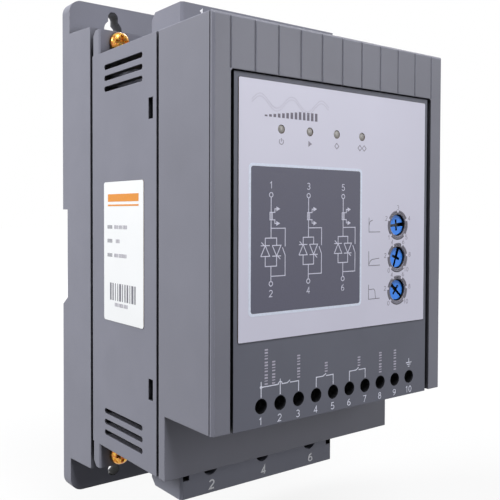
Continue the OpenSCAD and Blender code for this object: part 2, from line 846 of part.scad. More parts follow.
// Guide for the rail clip, narrower at the back so that the clip stays in
module clip_recess() {
    web = clip_w / 2 + clip_gap;
    wing = web + clip_wing;
    coil = spring_r + clip_gap;
    zs = [clip_bottom - clip_travel - clip_gap, channel_bottom + eps];
    slab([-web, web], [-over, clip_recess_d], zs);
    slab([-wing, wing], [clip_wing_d - clip_gap, clip_recess_d], zs);
    slab([-coil, coil], [-over, clip_recess_d], [recess_bottom, zs[0] + eps]);
}

// Sliding rail clip with a hook at its top, guide wings and a pull slot
module din_clip() {
    web = clip_w / 2;
    wing = web + clip_wing;
    pull_z = clip_bottom + pull_rise;
    color(black_plastic)
        difference() {
            union() {
                across(-web, web)
                    polygon([[clip_back, clip_bottom], [hook_d, clip_bottom], [hook_d, clip_top],
                        [hook_d - hook_nose, clip_top], [clip_back, clip_top - hook_reach]]);
                slab([-wing, wing], [clip_wing_d, hook_d], [clip_bottom, channel_bottom - clip_travel]);
            }
            slab([-pull_w / 2, pull_w / 2], [-over, hook_d + over], [pull_z, pull_z + pull_h]);
        }
}

// Coil spring between the clip's lower edge and the end of its recess
module din_clip_spring() {
    ring = 6;
    steps_per_turn = 12;
    steps = spring_turns * steps_per_turn;
    wire_r = spring_wire / 2;
    coil_r = spring_r - wire_r;
    mid = clip_back + clip_t / 2;
    low = recess_bottom + wire_r + spring_end_gap;
    high = clip_bottom - wire_r - spring_end_gap;
    points = [for (i = [0 : steps]) for (j = [0 : ring - 1])
        let (turn = i * 360 / steps_per_turn, a = j * 360 / ring, r = coil_r + wire_r * cos(a))
        [r * cos(turn), r * sin(turn) - mid, low + (high - low) * i / steps + wire_r * sin(a)]];
    skin = [for (i = [0 : steps - 1]) for (j = [0 : ring - 1]) for (half = [0, 1])
        let (k = (j + 1) % ring, a = i * ring, b = a + ring)
        half == 0 ? [a + j, b + j, b + k] : [a + j, b + k, a + k]];
    first = [for (j = [0 : ring - 1]) j];
    last = [for (j = [ring - 1 : -1 : 0]) steps * ring + j];
    color(steel)
        polyhedron(points, concat(skin, [first], [last]));
}

// Main body shell with its rear flange, louvres, latch windows and block openings
module main_body() {
    rim_w = inner_w + seam_lip;
    rim_h = inner_h + seam_lip;
    color(housing_grey)
        difference() {
            union() {
                rear_flange();
                slab([-half_w, half_w], [flange_d, seam_d], [-half_h, half_h]);
                slab([-rim_w, rim_w], [seam_d - eps, cover_d], [-rim_h, rim_h]);
            }
            slab([-inner_w, inner_w], [flange_d - over, cover_d + over], [-inner_h, inner_h]);
            for (s = sides, e = ends)
                rod(body_screw_r + 2 * screw_gap, flange_d - over, flange_front + over,
                    s * screw_x, e * screw_z);
            for (e = ends)
                block_opening(e);
            louvres();
            latch_windows();
        }
}

// Flange whose ends step back from the tray and carry the body screws
module rear_flange() {
    end = flange_h / 2;
    bevel_d = flange_rear + flange_bevel;
    bevel_z = end - flange_bevel;
    intersection() {
        across(-half_w, half_w)
            polygon([[flange_d, -half_h], [flange_rear, -half_h], [flange_rear, -bevel_z], [bevel_d, -end],
                [flange_front, -end], [flange_front, end], [bevel_d, end], [flange_rear, bevel_z],
                [flange_rear, half_h], [flange_d, half_h]]);
        upward(-end - over, end + over)
            chamfered_plan(half_w, flange_d - over, flange_front, flange_edge);
    }
}

module block_opening(e) {
    half = block_w + fit_gap;
    z = e > 0 ? [inner_h - over, half_h + over] : [-half_h - over, -inner_h + over];
    slab([-half, half], [block_back - fit_gap, block_d + fit_gap], z);
}

// Round-ended slots near each end of both side walls
module louvres() {
    r = louvre_h / 2;
    reach = half_w + over;
    for (e = ends, i = [0 : louvre_count - 1])
        translate([0, 0, e * (half_h - louvre_inset - i * louvre_pitch)]) {
            slab([-reach, reach], [louvre_d + r, louvre_d + louvre_len - r], [-r, r]);
            for (d = [louvre_d + r, louvre_d + louvre_len - r])
                translate([-reach, -d, 0])
                    rotate([0, 90, 0])
                        cylinder(r = r, h = 2 * reach);
        }
}

module latch_windows() {
    reach = half_w + over;
    for (z = latch_z)
        slab([-reach, reach], [seam_d - latch_inset - latch_d, seam_d - latch_inset],
            [z - latch_h / 2, z + latch_h / 2]);
}

// Four domed screws that hold the main body on the wall plate
module body_screws() {
    color(yellow_zinc)
        for (s = sides, e = ends)
            pan_screw(s * screw_x, e * screw_z, flange_front, body_screw_head_r, body_screw_head_h,
                body_screw_r, body_screw_len, dome_share, dome_arc);
}

// Bare sticker on the left side
module rating_sticker() {
    color("#ececf0")
        across(-half_w - sticker_t, -half_w)
            rounded([sticker_d, sticker_d + sticker_w], [-sticker_h / 2, sticker_h / 2], sticker_r);
}

// Front cover: a box with a skirt below it, ribs over the window and latch arms behind
module front_cover() {
    color(housing_grey)
        difference() {
            union() {
                difference() {
                    intersection() {
                        across(-half_w, half_w) cover_side();
                        upward(-half_h - over, half_h + over)
                            chamfered_plan(half_w, cover_d - over, depth, front_chamfer);
                    }
                    across(-inner_w, inner_w) cover_hollow();
                }
                latch_arms();
            }
            panel_window();
            rib_grooves();
            corner_grooves();
            control_entry();
        }
}

module cover_side() {
    c = front_chamfer;
    polygon([[cover_d, -half_h], [skirt_d, -half_h], [skirt_d, box_bottom], [depth, box_bottom],
        [depth, half_h - c], [depth - c, half_h], [cover_d, half_h]]);
}

module cover_hollow() {
    floor_z = box_bottom + wall;
    polygon([[cover_d - over, -inner_h], [skirt_d - wall, -inner_h], [skirt_d - wall, floor_z],
        [cover_inner_d, floor_z], [cover_inner_d, inner_h], [cover_d - over, inner_h]]);
}

module panel_window() {
    ledge = window_w - ledge_w;
    forward(panel_back, depth + over)
        rounded([-window_w, window_w], [box_bottom - 2 * window_r, window_top], window_r);
    slab([-ledge, ledge], [cover_inner_d - over, panel_back + over],
        [box_bottom + wall, window_top - ledge_w]);
}

module rib_grooves() {
    pitch = 2 * window_w / rib_count;
    half = rib_groove / 2;
    for (i = [0 : rib_count])
        translate([-window_w + i * pitch, 0, 0])
            upward(window_top - eps, half_h + over)
                polygon([[-half - over, depth + over], [0, depth - half], [half + over, depth + over]]);
}

module corner_grooves() {
    d = depth - front_chamfer - corner_groove;
    for (s = sides)
        translate([s * half_w, 0, 0])
            slab([-corner_groove, corner_groove], [d - corner_groove, d],
                [box_bottom - over, half_h + over]);
}

// Notch in the box's underside through which the control wires reach their block
module control_entry() {
    half = way_half + fit_gap;
    slab([way_x - half, way_x + half], [control_front - fit_gap, panel_back + eps],
        [box_bottom - over, way_top + fit_gap]);
}

// Spring arms inside the cover whose noses catch in the windows of the main body
module latch_arms() {
    outer = inner_w - fit_gap;
    nose_d = [seam_d - latch_inset - latch_d + fit_gap, seam_d - latch_inset - fit_gap];
    for (s = sides, z = latch_z) {
        zs = [z - latch_h / 2 + fit_gap, z + latch_h / 2 - fit_gap];
        mirror([s > 0 ? 0 : 1, 0, 0]) {
            slab([outer - latch_t, outer], [nose_d[0], latch_root], zs);
            slab([outer - latch_t, inner_w + eps], [cover_d + fit_gap, latch_root], zs);
            latch_nose(outer, nose_d, zs);
        }
    }
}

// Nose with a sloped lead-in at the rear and a square face at the front
module latch_nose(x, d, z) {
    tip = x + nose_reach;
    upward(z[0], z[1])
        polygon([[x - eps, d[0]], [x + fit_gap, d[0]], [tip, d[1] - nose_flat], [tip, d[1]],
            [x - eps, d[1]]]);
}

// Front panel with holes for lamps, dials and control screws, and posts for the board
module front_panel() {
    color(housing_grey)
        difference() {
            union() {
                slab([-panel_w, panel_w], [panel_back, panel_front], [panel_bottom, panel_top]);
                for (s = sides, z = post_z)
                    rod(post_r, control_front, panel_back + eps, s * post_x, z);
            }
            panel_holes();
            for (i = [0 : way_count - 1])
                rod(way_hole_r, panel_back - over, panel_front + over,
                    way_first + i * way_pitch, way_z);
            for (s = sides, z = post_z)
                rod(board_screw_r + screw_gap, control_front - over, panel_back, s * post_x, z);
        }
}

module panel_holes() {
    for (x = lamp_xs)
        rod(lamp_r + lamp_gap, panel_back - over, panel_front + over, x, lamp_z);
    for (z = dial_zs)
        rod(dial_r + dial_gap, panel_back - over, panel_front + over, dial_x, z);
}

// Printed overlay on the upper part of the front panel
module panel_overlay() {
    color("#cfcddd")
        difference() {
            forward(panel_front, panel_front + overlay_t)
                rounded([-overlay_w, overlay_w], [overlay_bottom, overlay_top], overlay_r);
            panel_holes();
        }
}

// Extruded heat sink with its fins towards the wall
module heat_sink() {
    color(aluminium)
        difference() {
            union() {
                slab([-sink_w / 2, sink_w / 2], [sink_d, flange_d], [-sink_h / 2, sink_h / 2]);
                for (i = [0 : fin_count - 1])
                    translate([(i - (fin_count - 1) / 2) * fin_pitch, 0, 0])
                        slab([-fin_t / 2, fin_t / 2], [plate_t + fin_gap, sink_d + eps],
                            [-sink_h / 2, sink_h / 2]);
            }
            for (s = sides, e = ends)
                rod(screw_r + screw_gap, sink_d - over, flange_d + over,
                    s * sink_screw_x, e * sink_screw_z);
            for (x = poles, e = ends)
                rod(screw_r + screw_gap, sink_d - over, flange_d + over, x, e * ear_z);
        }
}

module heat_sink_screws() {
    color(steel)
        for (s = sides, e = ends)
            pan_screw(s * sink_screw_x, e * sink_screw_z, flange_d, screw_head_r, screw_head_h, screw_r,
                sink_base_t + sink_screw_grip);
}

// Thyristor module with a base ear at each end and two threaded terminals on top
module thyristor_module(i) {
    tower = module_h / 2;
    ear = tower + module_ear;
    bevel_d = bar_d - module_bevel;
    bevel_z = tower - module_bevel;
    tap_d = bar_d - bar_screw_grip - blind_room;
    color(black_plastic)
        translate([poles[i], 0, 0])
            difference() {
                across(-module_w / 2, module_w / 2)
                    polygon([[flange_d, -ear], [ear_front, -ear], [ear_front, -tower], [bevel_d, -tower],
                        [bar_d, -bevel_z], [bar_d, bevel_z], [bevel_d, tower], [ear_front, tower],
                        [ear_front, ear], [flange_d, ear]]);
                for (e = ends) {
                    rod(screw_r + screw_gap, flange_d - over, ear_front + over, 0, e * ear_z);
                    rod(screw_r + screw_gap, tap_d, bar_d + over, 0, e * terminal_z);
                }
            }
}

module module_screws() {
    color(steel)
        for (x = poles, e = ends)
            pan_screw(x, e * ear_z, ear_front, module_head_r, screw_head_h, screw_r,
                module_ear_t + module_screw_grip);
}

// Straight flat bar from a module's terminal into its clamp, e = 1 at the top
module busbar(i, e) {
    inner = terminal_z - bar_w / 2;
    color(copper)
        difference() {
            translate([poles[i], 0, 0])
                slab([-bar_w / 2, bar_w / 2], [bar_d, bar_front],
                    e > 0 ? [inner, bar_end] : [-bar_end, -inner]);
            rod(screw_r + screw_gap, bar_d - over, bar_front + over, poles[i], e * terminal_z);
        }
}

module busbar_screws() {
    color(steel)
        for (x = poles, e = ends)
            pan_screw(x, e * terminal_z, bar_front, screw_head_r, screw_head_h, screw_r,
                bar_t + bar_screw_grip);
}

// Power terminal block at the top: collar inside the body, wire wells and screwdriver holes
module line_terminal_block() {
    b = block_chamfer;
    collar = block_w + block_collar;
    color(housing_grey)
        difference() {
            union() {
                intersection() {
                    upward(block_inner, block_end)
                        chamfered_plan(block_w, block_back, block_d, block_corner);
                    across(-block_w, block_w)
                        polygon([[block_back, block_inner], [block_d, block_inner], [block_d, block_end],
                            [block_back + b, block_end], [block_back, block_end - b]]);
                }
                slab([-collar, collar], [block_back, block_d], [block_inner, block_inner + block_in]);
            }
            for (x = poles) {
                slab([x - well_w / 2, x + well_w / 2], [well_back, well_front],
                    [block_inner - over, block_end + over]);
                rod(driver_r, well_front - eps, block_d + over, x, clamp_z);
            }
            for (s = sides)
                translate([s * (block_w - block_corner - notch_w / 2), 0, 0])
                    slab([-notch_w / 2, notch_w / 2], [block_d - notch_w, block_d + over],
                        [half_h, half_h + notch_h]);
        }
}

// The same block mirrored to the bottom
module load_terminal_block() {
    mirror([0, 0, 1]) line_terminal_block();
}

// Six box clamps that press the wires onto the busbars
module power_terminal_clamps() {
    half = well_w / 2 - well_gap;
    color(steel)
        for (x = poles, e = ends)
            translate([x, 0, e * clamp_z])
                difference() {
                    slab([-half, half], [clamp_back, clamp_front], [-clamp_h / 2, clamp_h / 2]);
                    slab([-half + clamp_t, half - clamp_t], [clamp_back + clamp_t, clamp_window],
                        [-clamp_h / 2 - over, clamp_h / 2 + over]);
                    rod(clamp_screw_r + screw_gap, clamp_window - over, clamp_front + over, 0, 0);
                }
}

module power_terminal_screws() {
    color(steel)
        for (x = poles, e = ends)
            pan_screw(x, e * clamp_z, clamp_front + clamp_screw_lift, clamp_head_r, clamp_head_h,
                clamp_screw_r, clamp_nut_t + clamp_screw_lift);
}

// Ring core round a load busbar, with a foot on the power board
module current_transformer(i) {
    color("#3a3f55")
        translate([poles[i], -ring_d, ring_z - ring_h / 2])
            difference() {
                union() {
                    cylinder(r = ring_r, h = ring_h);
                    translate([-ring_foot_w / 2, ring_d - board_d, 0])
                        cube([ring_foot_w, board_d - ring_d, ring_h]);
                }
                translate([0, 0, -over]) cylinder(r = ring_bore_r, h = ring_h + 2 * over);
            }
}

// Board that carries the bypass relays and the supply
module power_board() {
    color(pcb_green)
        difference() {
            slab([-power_board_w / 2, power_board_w / 2], [board_d, board_front],
                [-power_board_h / 2, power_board_h / 2]);
            for (s = sides, e = ends)
                rod(board_screw_r + screw_gap, board_d - over, board_front + over,
                    s * spacer_x, e * spacer_z);
        }
}

// Hexagonal pillars between the heat sink and the power board
module power_board_spacers() {
    tap_d = board_d - board_screw_grip - blind_room;
    color(brass)
        for (s = sides, e = ends)
            difference() {
                translate([s * spacer_x, -flange_d, e * spacer_z])
                    rotate([90, 0, 0])
                        cylinder(r = spacer_af / sqrt(3), h = board_d - flange_d, $fn = 6);
                rod(board_screw_r + screw_gap, tap_d, board_d + over, s * spacer_x, e * spacer_z);
            }
}

module power_board_screws() {
    color(steel)
        for (s = sides, e = ends)
            pan_screw(s * spacer_x, e * spacer_z, board_front, board_head_r, screw_head_h, board_screw_r,
                pcb_t + board_screw_grip);
}

// Component that stands on the power board, with its edges bevelled at the front
module board_block(x, z, w, h, d, bevel) {
    front = board_front + d;
    translate([x, 0, z])
        intersection() {
            across(-w / 2, w / 2)
                polygon([[board_front, -h / 2], [front - bevel, -h / 2], [front, -h / 2 + bevel],
                    [front, h / 2 - bevel], [front - bevel, h / 2], [board_front, h / 2]]);
            upward(-h / 2, h / 2)
                chamfered_plan(w / 2, board_front, front, bevel);
        }
}

module bypass_relay(i) {
    bevel = 0.8;
    color("#24262b")
        board_block(poles[i], relay_z, relay_w, relay_h, relay_d, bevel);
}

// Laminated supply transformer with its coil between the core's legs
module supply_transformer() {
    core_bevel = 0.4;
    coil_bevel = 2;
    color("#7b5a33") {
        board_block(transformer_x, transformer_z, core_w, core_h, core_d, core_bevel);
        board_block(transformer_x, transformer_z, coil_w, coil_h, coil_d, coil_bevel);
    }
}

// Upright capacitor with a crimp near its foot and a bevelled top
module smoothing_capacitor() {
    crimp = capacitor_crimp;
    crimp_z = 5 * crimp;
    rim = 2 * crimp;
    color("#1f2a4d")
        translate([capacitor_x, -board_front, capacitor_z])
            rotate([90, 0, 0])
                rotate_extrude()
                    polygon([[0, 0], [capacitor_r, 0], [capacitor_r, crimp_z - crimp],
                        [capacitor_r - crimp, crimp_z], [capacitor_r, crimp_z + crimp],
                        [capacitor_r, capacitor_h - rim], [capacitor_r - rim, capacitor_h],
                        [0, capacitor_h]]);
}

module snubber_capacitors() {
    bevel = 1;
    color("#c9a227")
        for (x = poles)
            board_block(x, snubber_z, snubber_w, snubber_h, snubber_d, bevel);
}

// Discs that stand on edge on the power board, each on two leads
module surge_varistors() {
    drop = varistor_r + varistor_rise;
    color("#2c62a8")
        for (x = poles)
            translate([x, -board_front - drop, varistor_z]) {
                translate([0, 0, -varistor_t / 2]) cylinder(r = varistor_r, h = varistor_t);
                for (s = sides)
                    translate([(s * varistor_r - varistor_lead) / 2, 0, -varistor_lead / 2])
                        cube([varistor_lead, drop, varistor_lead]);
            }
}

// Stacking header between the two boards
module board_link() {
    pin_w = link_w / 2 - link_wall;
    pin_h = link_h / 2 - link_wall;
    color(black_plastic)
        translate([run_x, 0, link_z]) {
            for (d = [board_front, control_back - link_d])
                slab([-link_w / 2, link_w / 2], [d, d + link_d], [-link_h / 2, link_h / 2]);
            slab([-pin_w, pin_w], [board_front, control_back], [-pin_h, pin_h]);
        }
}

// Board behind the front panel, with its processor soldered on
module control_board() {
    chip_z = (control_top + control_bottom) / 2 + chip_rise;
    color(pcb_green)
        difference() {
            union() {
                slab([-control_board_w / 2, control_board_w / 2], [control_back, control_front],
                    [control_bottom, control_top]);
                slab([-chip_w / 2, chip_w / 2], [control_front - eps, control_front + chip_t],
                    [chip_z - chip_w / 2, chip_z + chip_w / 2]);
            }
            for (s = sides, z = post_z)
                rod(board_screw_r + screw_gap, control_back - over, control_front + over, s * post_x, z);
        }
}

// Screws from behind through the control board into the panel's posts
module control_board_screws() {
    color(steel)
        for (s = sides, z = post_z)
            translate([s * post_x, 0, z])
                mirror([0, 1, 0])
                    pan_screw(0, 0, -control_back, board_head_r, screw_head_h, board_screw_r,
                        pcb_t + board_screw_grip);
}

module output_relay(x) {
    color(white_plastic)
        slab([x - output_w / 2, x + output_w / 2], [control_back - output_d, control_back],
            [output_z - output_h / 2, output_z + output_h / 2]);
}

module run_relay() {
    output_relay(run_x);
}

module fault_relay() {
    output_relay(fault_x);
}

// Row of screw terminals whose wires come in from below
module control_terminal_block() {
    half = way_well_w / 2;
    well_top = way_z + way_clamp_h / 2 + well_gap;
    color(black_plastic)
        difference() {
            slab([way_x - way_half, way_x + way_half], [control_front, way_front], [way_bottom, way_top]);
            for (i = [0 : way_count - 1])
                translate([way_first + i * way_pitch, 0, 0]) {
                    slab([-half, half], [way_well_back, way_well_front], [way_bottom - over, well_top]);
                    rod(way_hole_r, way_well_front - eps, way_front + over, 0, way_z);
                }
        }
}

module control_terminal_clamps() {
    half = way_well_w / 2 - well_gap;
    back = way_well_back + well_gap;
    front = way_well_front - well_gap;
    color(steel)
        for (i = [0 : way_count - 1])
            translate([way_first + i * way_pitch, 0, way_clamp_z])
                difference() {
                    slab([-half, half], [back, front], [0, way_clamp_h]);
                    slab([-half + way_clamp_t, half - way_clamp_t],
                        [back + way_clamp_t, front - way_clamp_t], [-over, way_clamp_h + over]);
                    rod(board_screw_r + screw_gap, front - way_clamp_t - over, front + over,
                        0, way_clamp_h / 2);
                }
}

module control_terminal_screws() {
    color(steel)
        for (i = [0 : way_count - 1])
            pan_screw(way_first + i * way_pitch, way_z, way_well_front, way_hole_r - 2 * screw_gap,
                way_head_h, board_screw_r, way_clamp_t + well_gap);
}

// Square trimmer body with a round seat for its rotor
module trimmer_body(i) {
    half = trimmer_w / 2;
    seat_d = trimmer_front - journal_len - journal_gap;
    color("#1e5fbf")
        difference() {
            slab([dial_x - half, dial_x + half], [control_front, trimmer_front],
                [dial_zs[i] - half, dial_zs[i] + half]);
            rod(journal_r + journal_gap, seat_d, trimmer_front + over, dial_x, dial_zs[i]);
        }
}

// Rotor with a short slot across a long one, which is wider at its pointer's end
module dial(i) {
    arm = dial_slot_len;
    slot = dial_slot_w / 2;
    cut = [dial_face - dial_slot_d, dial_face + over];
    color(dial_blue)
        difference() {
            union() {
                rod(dial_r, dial_back, dial_face, dial_x, dial_zs[i]);
                rod(journal_r, trimmer_front - journal_len, dial_back + eps, dial_x, dial_zs[i]);
            }
            translate([dial_x, 0, dial_zs[i]])
                rotate([0, -dial_angles[i], 0]) {
                    slab([-dial_r - over, eps], cut, [-slot, slot]);
                    slab([-slot, slot], cut, [-arm, arm]);
                    slab([0, dial_r + over], cut, [-pointer_w / 2, pointer_w / 2]);
                }
        }
}

// Round lamp with a domed lens and a flange at its foot
module status_lamp(i) {
    rim = lamp_h - lamp_dome;
    color("#8c8a80")
        translate([lamp_xs[i], -lamp_foot, lamp_z])
            rotate([90, 0, 0])
                rotate_extrude()
                    polygon(concat([[0, 0], [lamp_tube_r, 0], [lamp_tube_r, lamp_flange],
                        [lamp_r, lamp_flange]],
                        [for (a = [0 : dome_arc : 90]) [lamp_r * cos(a), rim + lamp_dome * sin(a)]]));
}

// Tubes that hold the lamps at the panel's height
module lamp_spacers() {
    color(white_plastic)
        for (x = lamp_xs)
            difference() {
                rod(lamp_tube_r, control_front, lamp_foot, x, lamp_z);
                rod(lamp_tube_r - lamp_tube_t, control_front - over, lamp_foot + over, x, lamp_z);
            }
}

mounting_base();
din_clip();
din_clip_spring();
main_body();
body_screws();
rating_sticker();
front_cover();
front_panel();
panel_overlay();
heat_sink();
heat_sink_screws();
thyristor_module(0);  // thyristor_module_1
thyristor_module(1);  // thyristor_module_2
thyristor_module(2);  // thyristor_module_3
module_screws();
busbar(0, 1);  // line_busbar_1
busbar(1, 1);  // line_busbar_2
busbar(2, 1);  // line_busbar_3
busbar(0, -1);  // load_busbar_1
busbar(1, -1);  // load_busbar_2
busbar(2, -1);  // load_busbar_3
busbar_screws();
line_terminal_block();
load_terminal_block();
power_terminal_clamps();
power_terminal_screws();
current_transformer(0);  // current_transformer_1
current_transformer(1);  // current_transformer_2
current_transformer(2);  // current_transformer_3
power_board();
power_board_spacers();
power_board_screws();
bypass_relay(0);  // bypass_relay_1
bypass_relay(1);  // bypass_relay_2
bypass_relay(2);  // bypass_relay_3
supply_transformer();
smoothing_capacitor();
snubber_capacitors();
surge_varistors();
board_link();
control_board();
control_board_screws();
run_relay();
fault_relay();
control_terminal_block();
control_terminal_clamps();
control_terminal_screws();
trimmer_body(0);  // trimmer_body_1
trimmer_body(1);  // trimmer_body_2
trimmer_body(2);  // trimmer_body_3
dial(0);  // start_voltage_dial
dial(1);  // start_time_dial
dial(2);  // stop_time_dial
status_lamp(0);  // status_lamp_1
status_lamp(1);  // status_lamp_2
status_lamp(2);  // status_lamp_3
status_lamp(3);  // status_lamp_4
lamp_spacers();
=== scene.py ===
import json
import math

import bmesh
import bpy
from mathutils import Matrix, Vector
from mathutils.geometry import delaunay_2d_cdt


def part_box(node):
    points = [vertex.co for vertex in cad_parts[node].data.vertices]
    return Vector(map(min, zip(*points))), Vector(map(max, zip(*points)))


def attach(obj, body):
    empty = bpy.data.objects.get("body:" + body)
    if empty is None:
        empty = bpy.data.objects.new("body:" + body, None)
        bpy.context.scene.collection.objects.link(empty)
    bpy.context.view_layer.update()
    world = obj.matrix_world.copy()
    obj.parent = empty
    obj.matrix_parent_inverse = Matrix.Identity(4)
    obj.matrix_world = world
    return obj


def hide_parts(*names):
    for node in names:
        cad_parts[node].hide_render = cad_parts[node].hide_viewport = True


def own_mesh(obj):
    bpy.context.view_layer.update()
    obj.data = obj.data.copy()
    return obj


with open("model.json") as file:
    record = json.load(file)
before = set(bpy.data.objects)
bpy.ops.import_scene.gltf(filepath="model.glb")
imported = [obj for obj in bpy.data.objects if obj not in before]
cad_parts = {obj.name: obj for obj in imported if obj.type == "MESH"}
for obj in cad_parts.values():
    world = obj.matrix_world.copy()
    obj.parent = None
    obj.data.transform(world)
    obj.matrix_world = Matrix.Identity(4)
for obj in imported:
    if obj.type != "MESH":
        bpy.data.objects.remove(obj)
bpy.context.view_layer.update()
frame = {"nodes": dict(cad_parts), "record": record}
nodes = frame["nodes"]
scene = bpy.context.scene
scene.view_settings.view_transform = "Standard"
mm = 0.001
print("frame loaded with", len(nodes), "nodes")


# colour as a screen shows it, made linear
def ink(red, green, blue):
    shades = [v / 255 for v in (red, green, blue)]
    return tuple(v / 12.92 if v <= 0.04045 else ((v + 0.055) / 1.055) ** 2.4 for v in shades) + (1.0,)


def scaled(color, share):
    return tuple(v * share for v in color[:3]) + (1.0,)


# a socket takes a link from another socket, or a plain value
def feed(tree, socket, value):
    if isinstance(value, bpy.types.NodeSocket):
        tree.links.new(value, socket)
    else:
        socket.default_value = value


def addNode(tree, kind, values=None, **settings):
    node = tree.nodes.new(kind)
    for key, value in settings.items():
        setattr(node, key, value)
    for key, value in (values or {}).items():
        feed(tree, node.inputs[key], value)
    return node


def calc(tree, operation, *values):
    return addNode(tree, "ShaderNodeMath", dict(enumerate(values)), operation=operation).outputs[0]


def joinXyz(tree, *values):
    return addNode(tree, "ShaderNodeCombineXYZ", dict(enumerate(values))).outputs[0]


# helpers for materials
def emptyMaterial(name):
    material = bpy.data.materials.new(name)
    material.use_nodes = True
    tree = material.node_tree
    return material, tree, tree.nodes["Principled BSDF"]


def surfaced(tree, shader, color, roughness, normal):
    for label, value in (("Base Color", color), ("Roughness", roughness), ("Normal", normal)):
        tree.links.new(value, shader.inputs[label])


def objectCoordinates(tree):
    return addNode(tree, "ShaderNodeTexCoord").outputs["Object"]


def noiseOf(tree, place, scale, detail=2.0, roughness=0.5):
    values = {"Vector": place, "Scale": scale, "Detail": detail, "Roughness": roughness}
    return addNode(tree, "ShaderNodeTexNoise", values).outputs["Fac"]


def mapped(tree, value, low, high, fromLow=0.3, fromHigh=0.7):
    return addNode(tree, "ShaderNodeMapRange", {0: value, 1: fromLow, 2: fromHigh, 3: low, 4: high}).outputs[0]


def mixedColor(tree, factor, first, second):
    return addNode(tree, "ShaderNodeMix", {0: factor, 6: first, 7: second}, data_type="RGBA").outputs[2]


def clouded(tree, noise, color, low, high):
    return mixedColor(tree, mapped(tree, noise, 0, 1), scaled(color, low), scaled(color, high))


def softened(tree, radius):
    return addNode(tree, "ShaderNodeBevel", {"Radius": radius}, samples=4).outputs[0]


def bumped(tree, height, strength, distance, normal=None):
    bump = addNode(tree, "ShaderNodeBump", {"Height": height, "Strength": strength, "Distance": distance})
    if normal:
        tree.links.new(normal, bump.inputs["Normal"])
    return bump.outputs["Normal"]


# moulded plastic: spark-eroded grain, faint flow clouds, edges softened with a painted highlight, narrow recesses
# darkened with painted shade
moulded = {"shades": (0.95, 1.05), "grain": 2600, "uneven": 0.06, "bump": (0.35, 0.00003), "edge": (0.72, 0.97)}


# recess: painted shade of a closed corner, the open shares between which it fades, and its reach in mm
def mouldedPlastic(name, color, roughness=0.5, clouds=45, softEdge=0.00028, specular=0.25, edgeShare=1.2,
                   recess=(0.1, 0.22, 0.5, 4)):
    material, tree, shader = emptyMaterial(name)
    place = objectCoordinates(tree)
    body = clouded(tree, noiseOf(tree, place, clouds, detail=3), color, *moulded["shades"])
    fine = noiseOf(tree, place, moulded["grain"], roughness=0.6)
    soft = softened(tree, softEdge)
    normal = addNode(tree, "ShaderNodeNewGeometry").outputs["Normal"]
    facing = addNode(tree, "ShaderNodeVectorMath", {0: soft, 1: normal}, operation="DOT_PRODUCT")
    # painted highlight: where the softened normal turns away from the face, the edge is painted paler
    edge = mapped(tree, facing.outputs["Value"], 1, 0, *moulded["edge"])
    paintedEdgeHighlight = mixedColor(tree, edge, body, scaled(color, edgeShare))
    # painted shade: an occlusion test darkens the base colour in slots, seams and corners
    dark, closed, wide, depth = recess
    room = addNode(tree, "ShaderNodeAmbientOcclusion", {"Distance": depth * mm}, samples=6)
    airy = mapped(tree, room.outputs["AO"], 0, 1, closed, wide)
    surfaced(tree, shader, mixedColor(tree, airy, scaled(color, dark), paintedEdgeHighlight),
             mapped(tree, fine, roughness - moulded["uneven"], roughness + moulded["uneven"]),
             bumped(tree, fine, *moulded["bump"], soft))
    shader.inputs["Specular IOR Level"].default_value = specular
    return material


# bare or plated metal: brushed along one axis, slight stains
worked = {"brushed": (900, 900, 40), "stains": 160, "uneven": (-0.08, 0.1), "softEdge": 0.0002,
          "bump": (0.2, 0.00001)}


def workedMetal(name, color, stain, roughness):
    material, tree, shader = emptyMaterial(name)
    place = objectCoordinates(tree)
    stretch = addNode(tree, "ShaderNodeMapping", {"Vector": place, "Scale": worked["brushed"]})
    streak = noiseOf(tree, stretch.outputs[0], 1.0, detail=3, roughness=0.6)
    blot = noiseOf(tree, place, worked["stains"])
    surfaced(tree, shader, mixedColor(tree, mapped(tree, blot, 0, 1), color, stain),
             mapped(tree, streak, *(roughness + v for v in worked["uneven"])),
             bumped(tree, streak, *worked["bump"], softened(tree, worked["softEdge"])))
    shader.inputs["Metallic"].default_value = 1.0
    return material


# passivated zinc: gold with patches that turn pink and green
zinc = {"patches": 520, "softEdge": 0.0003, "bump": (0.3, 0.00006), "haze": 900, "gloss": (0.12, 0.28),
        "ends": ((0.28, ink(92, 52, 20)), (0.74, ink(120, 92, 40))),
        "between": ((0.38, ink(206, 128, 44)), (0.46, ink(240, 196, 92)), (0.53, ink(176, 84, 62)),
                    (0.6, ink(236, 184, 70)), (0.66, ink(196, 190, 110)))}


def yellowZinc(name):
    material, tree, shader = emptyMaterial(name)
    place = objectCoordinates(tree)
    drift = noiseOf(tree, place, zinc["patches"], detail=3, roughness=0.65)
    ramp = addNode(tree, "ShaderNodeValToRGB", {0: drift})
    stops = ramp.color_ramp.elements
    for i, (position, color) in enumerate(zinc["ends"]):
        stops[i].position, stops[i].color = position, color
    for position, color in zinc["between"]:
        stops.new(position).color = color
    surfaced(tree, shader, ramp.outputs[0], mapped(tree, noiseOf(tree, place, zinc["haze"]), *zinc["gloss"]),
             bumped(tree, drift, *zinc["bump"], softened(tree, zinc["softEdge"])))
    shader.inputs["Metallic"].default_value = 1.0
    return material


# printed film: satin face with a fine tooth, the cut edge brown; its face looks along the axis
film = {"clouds": 30, "shades": (0.975, 1.02), "tooth": 3200, "uneven": (-0.05, 0.07), "bump": (0.2, 0.00001),
        "cut": (0.3, 0.6)}


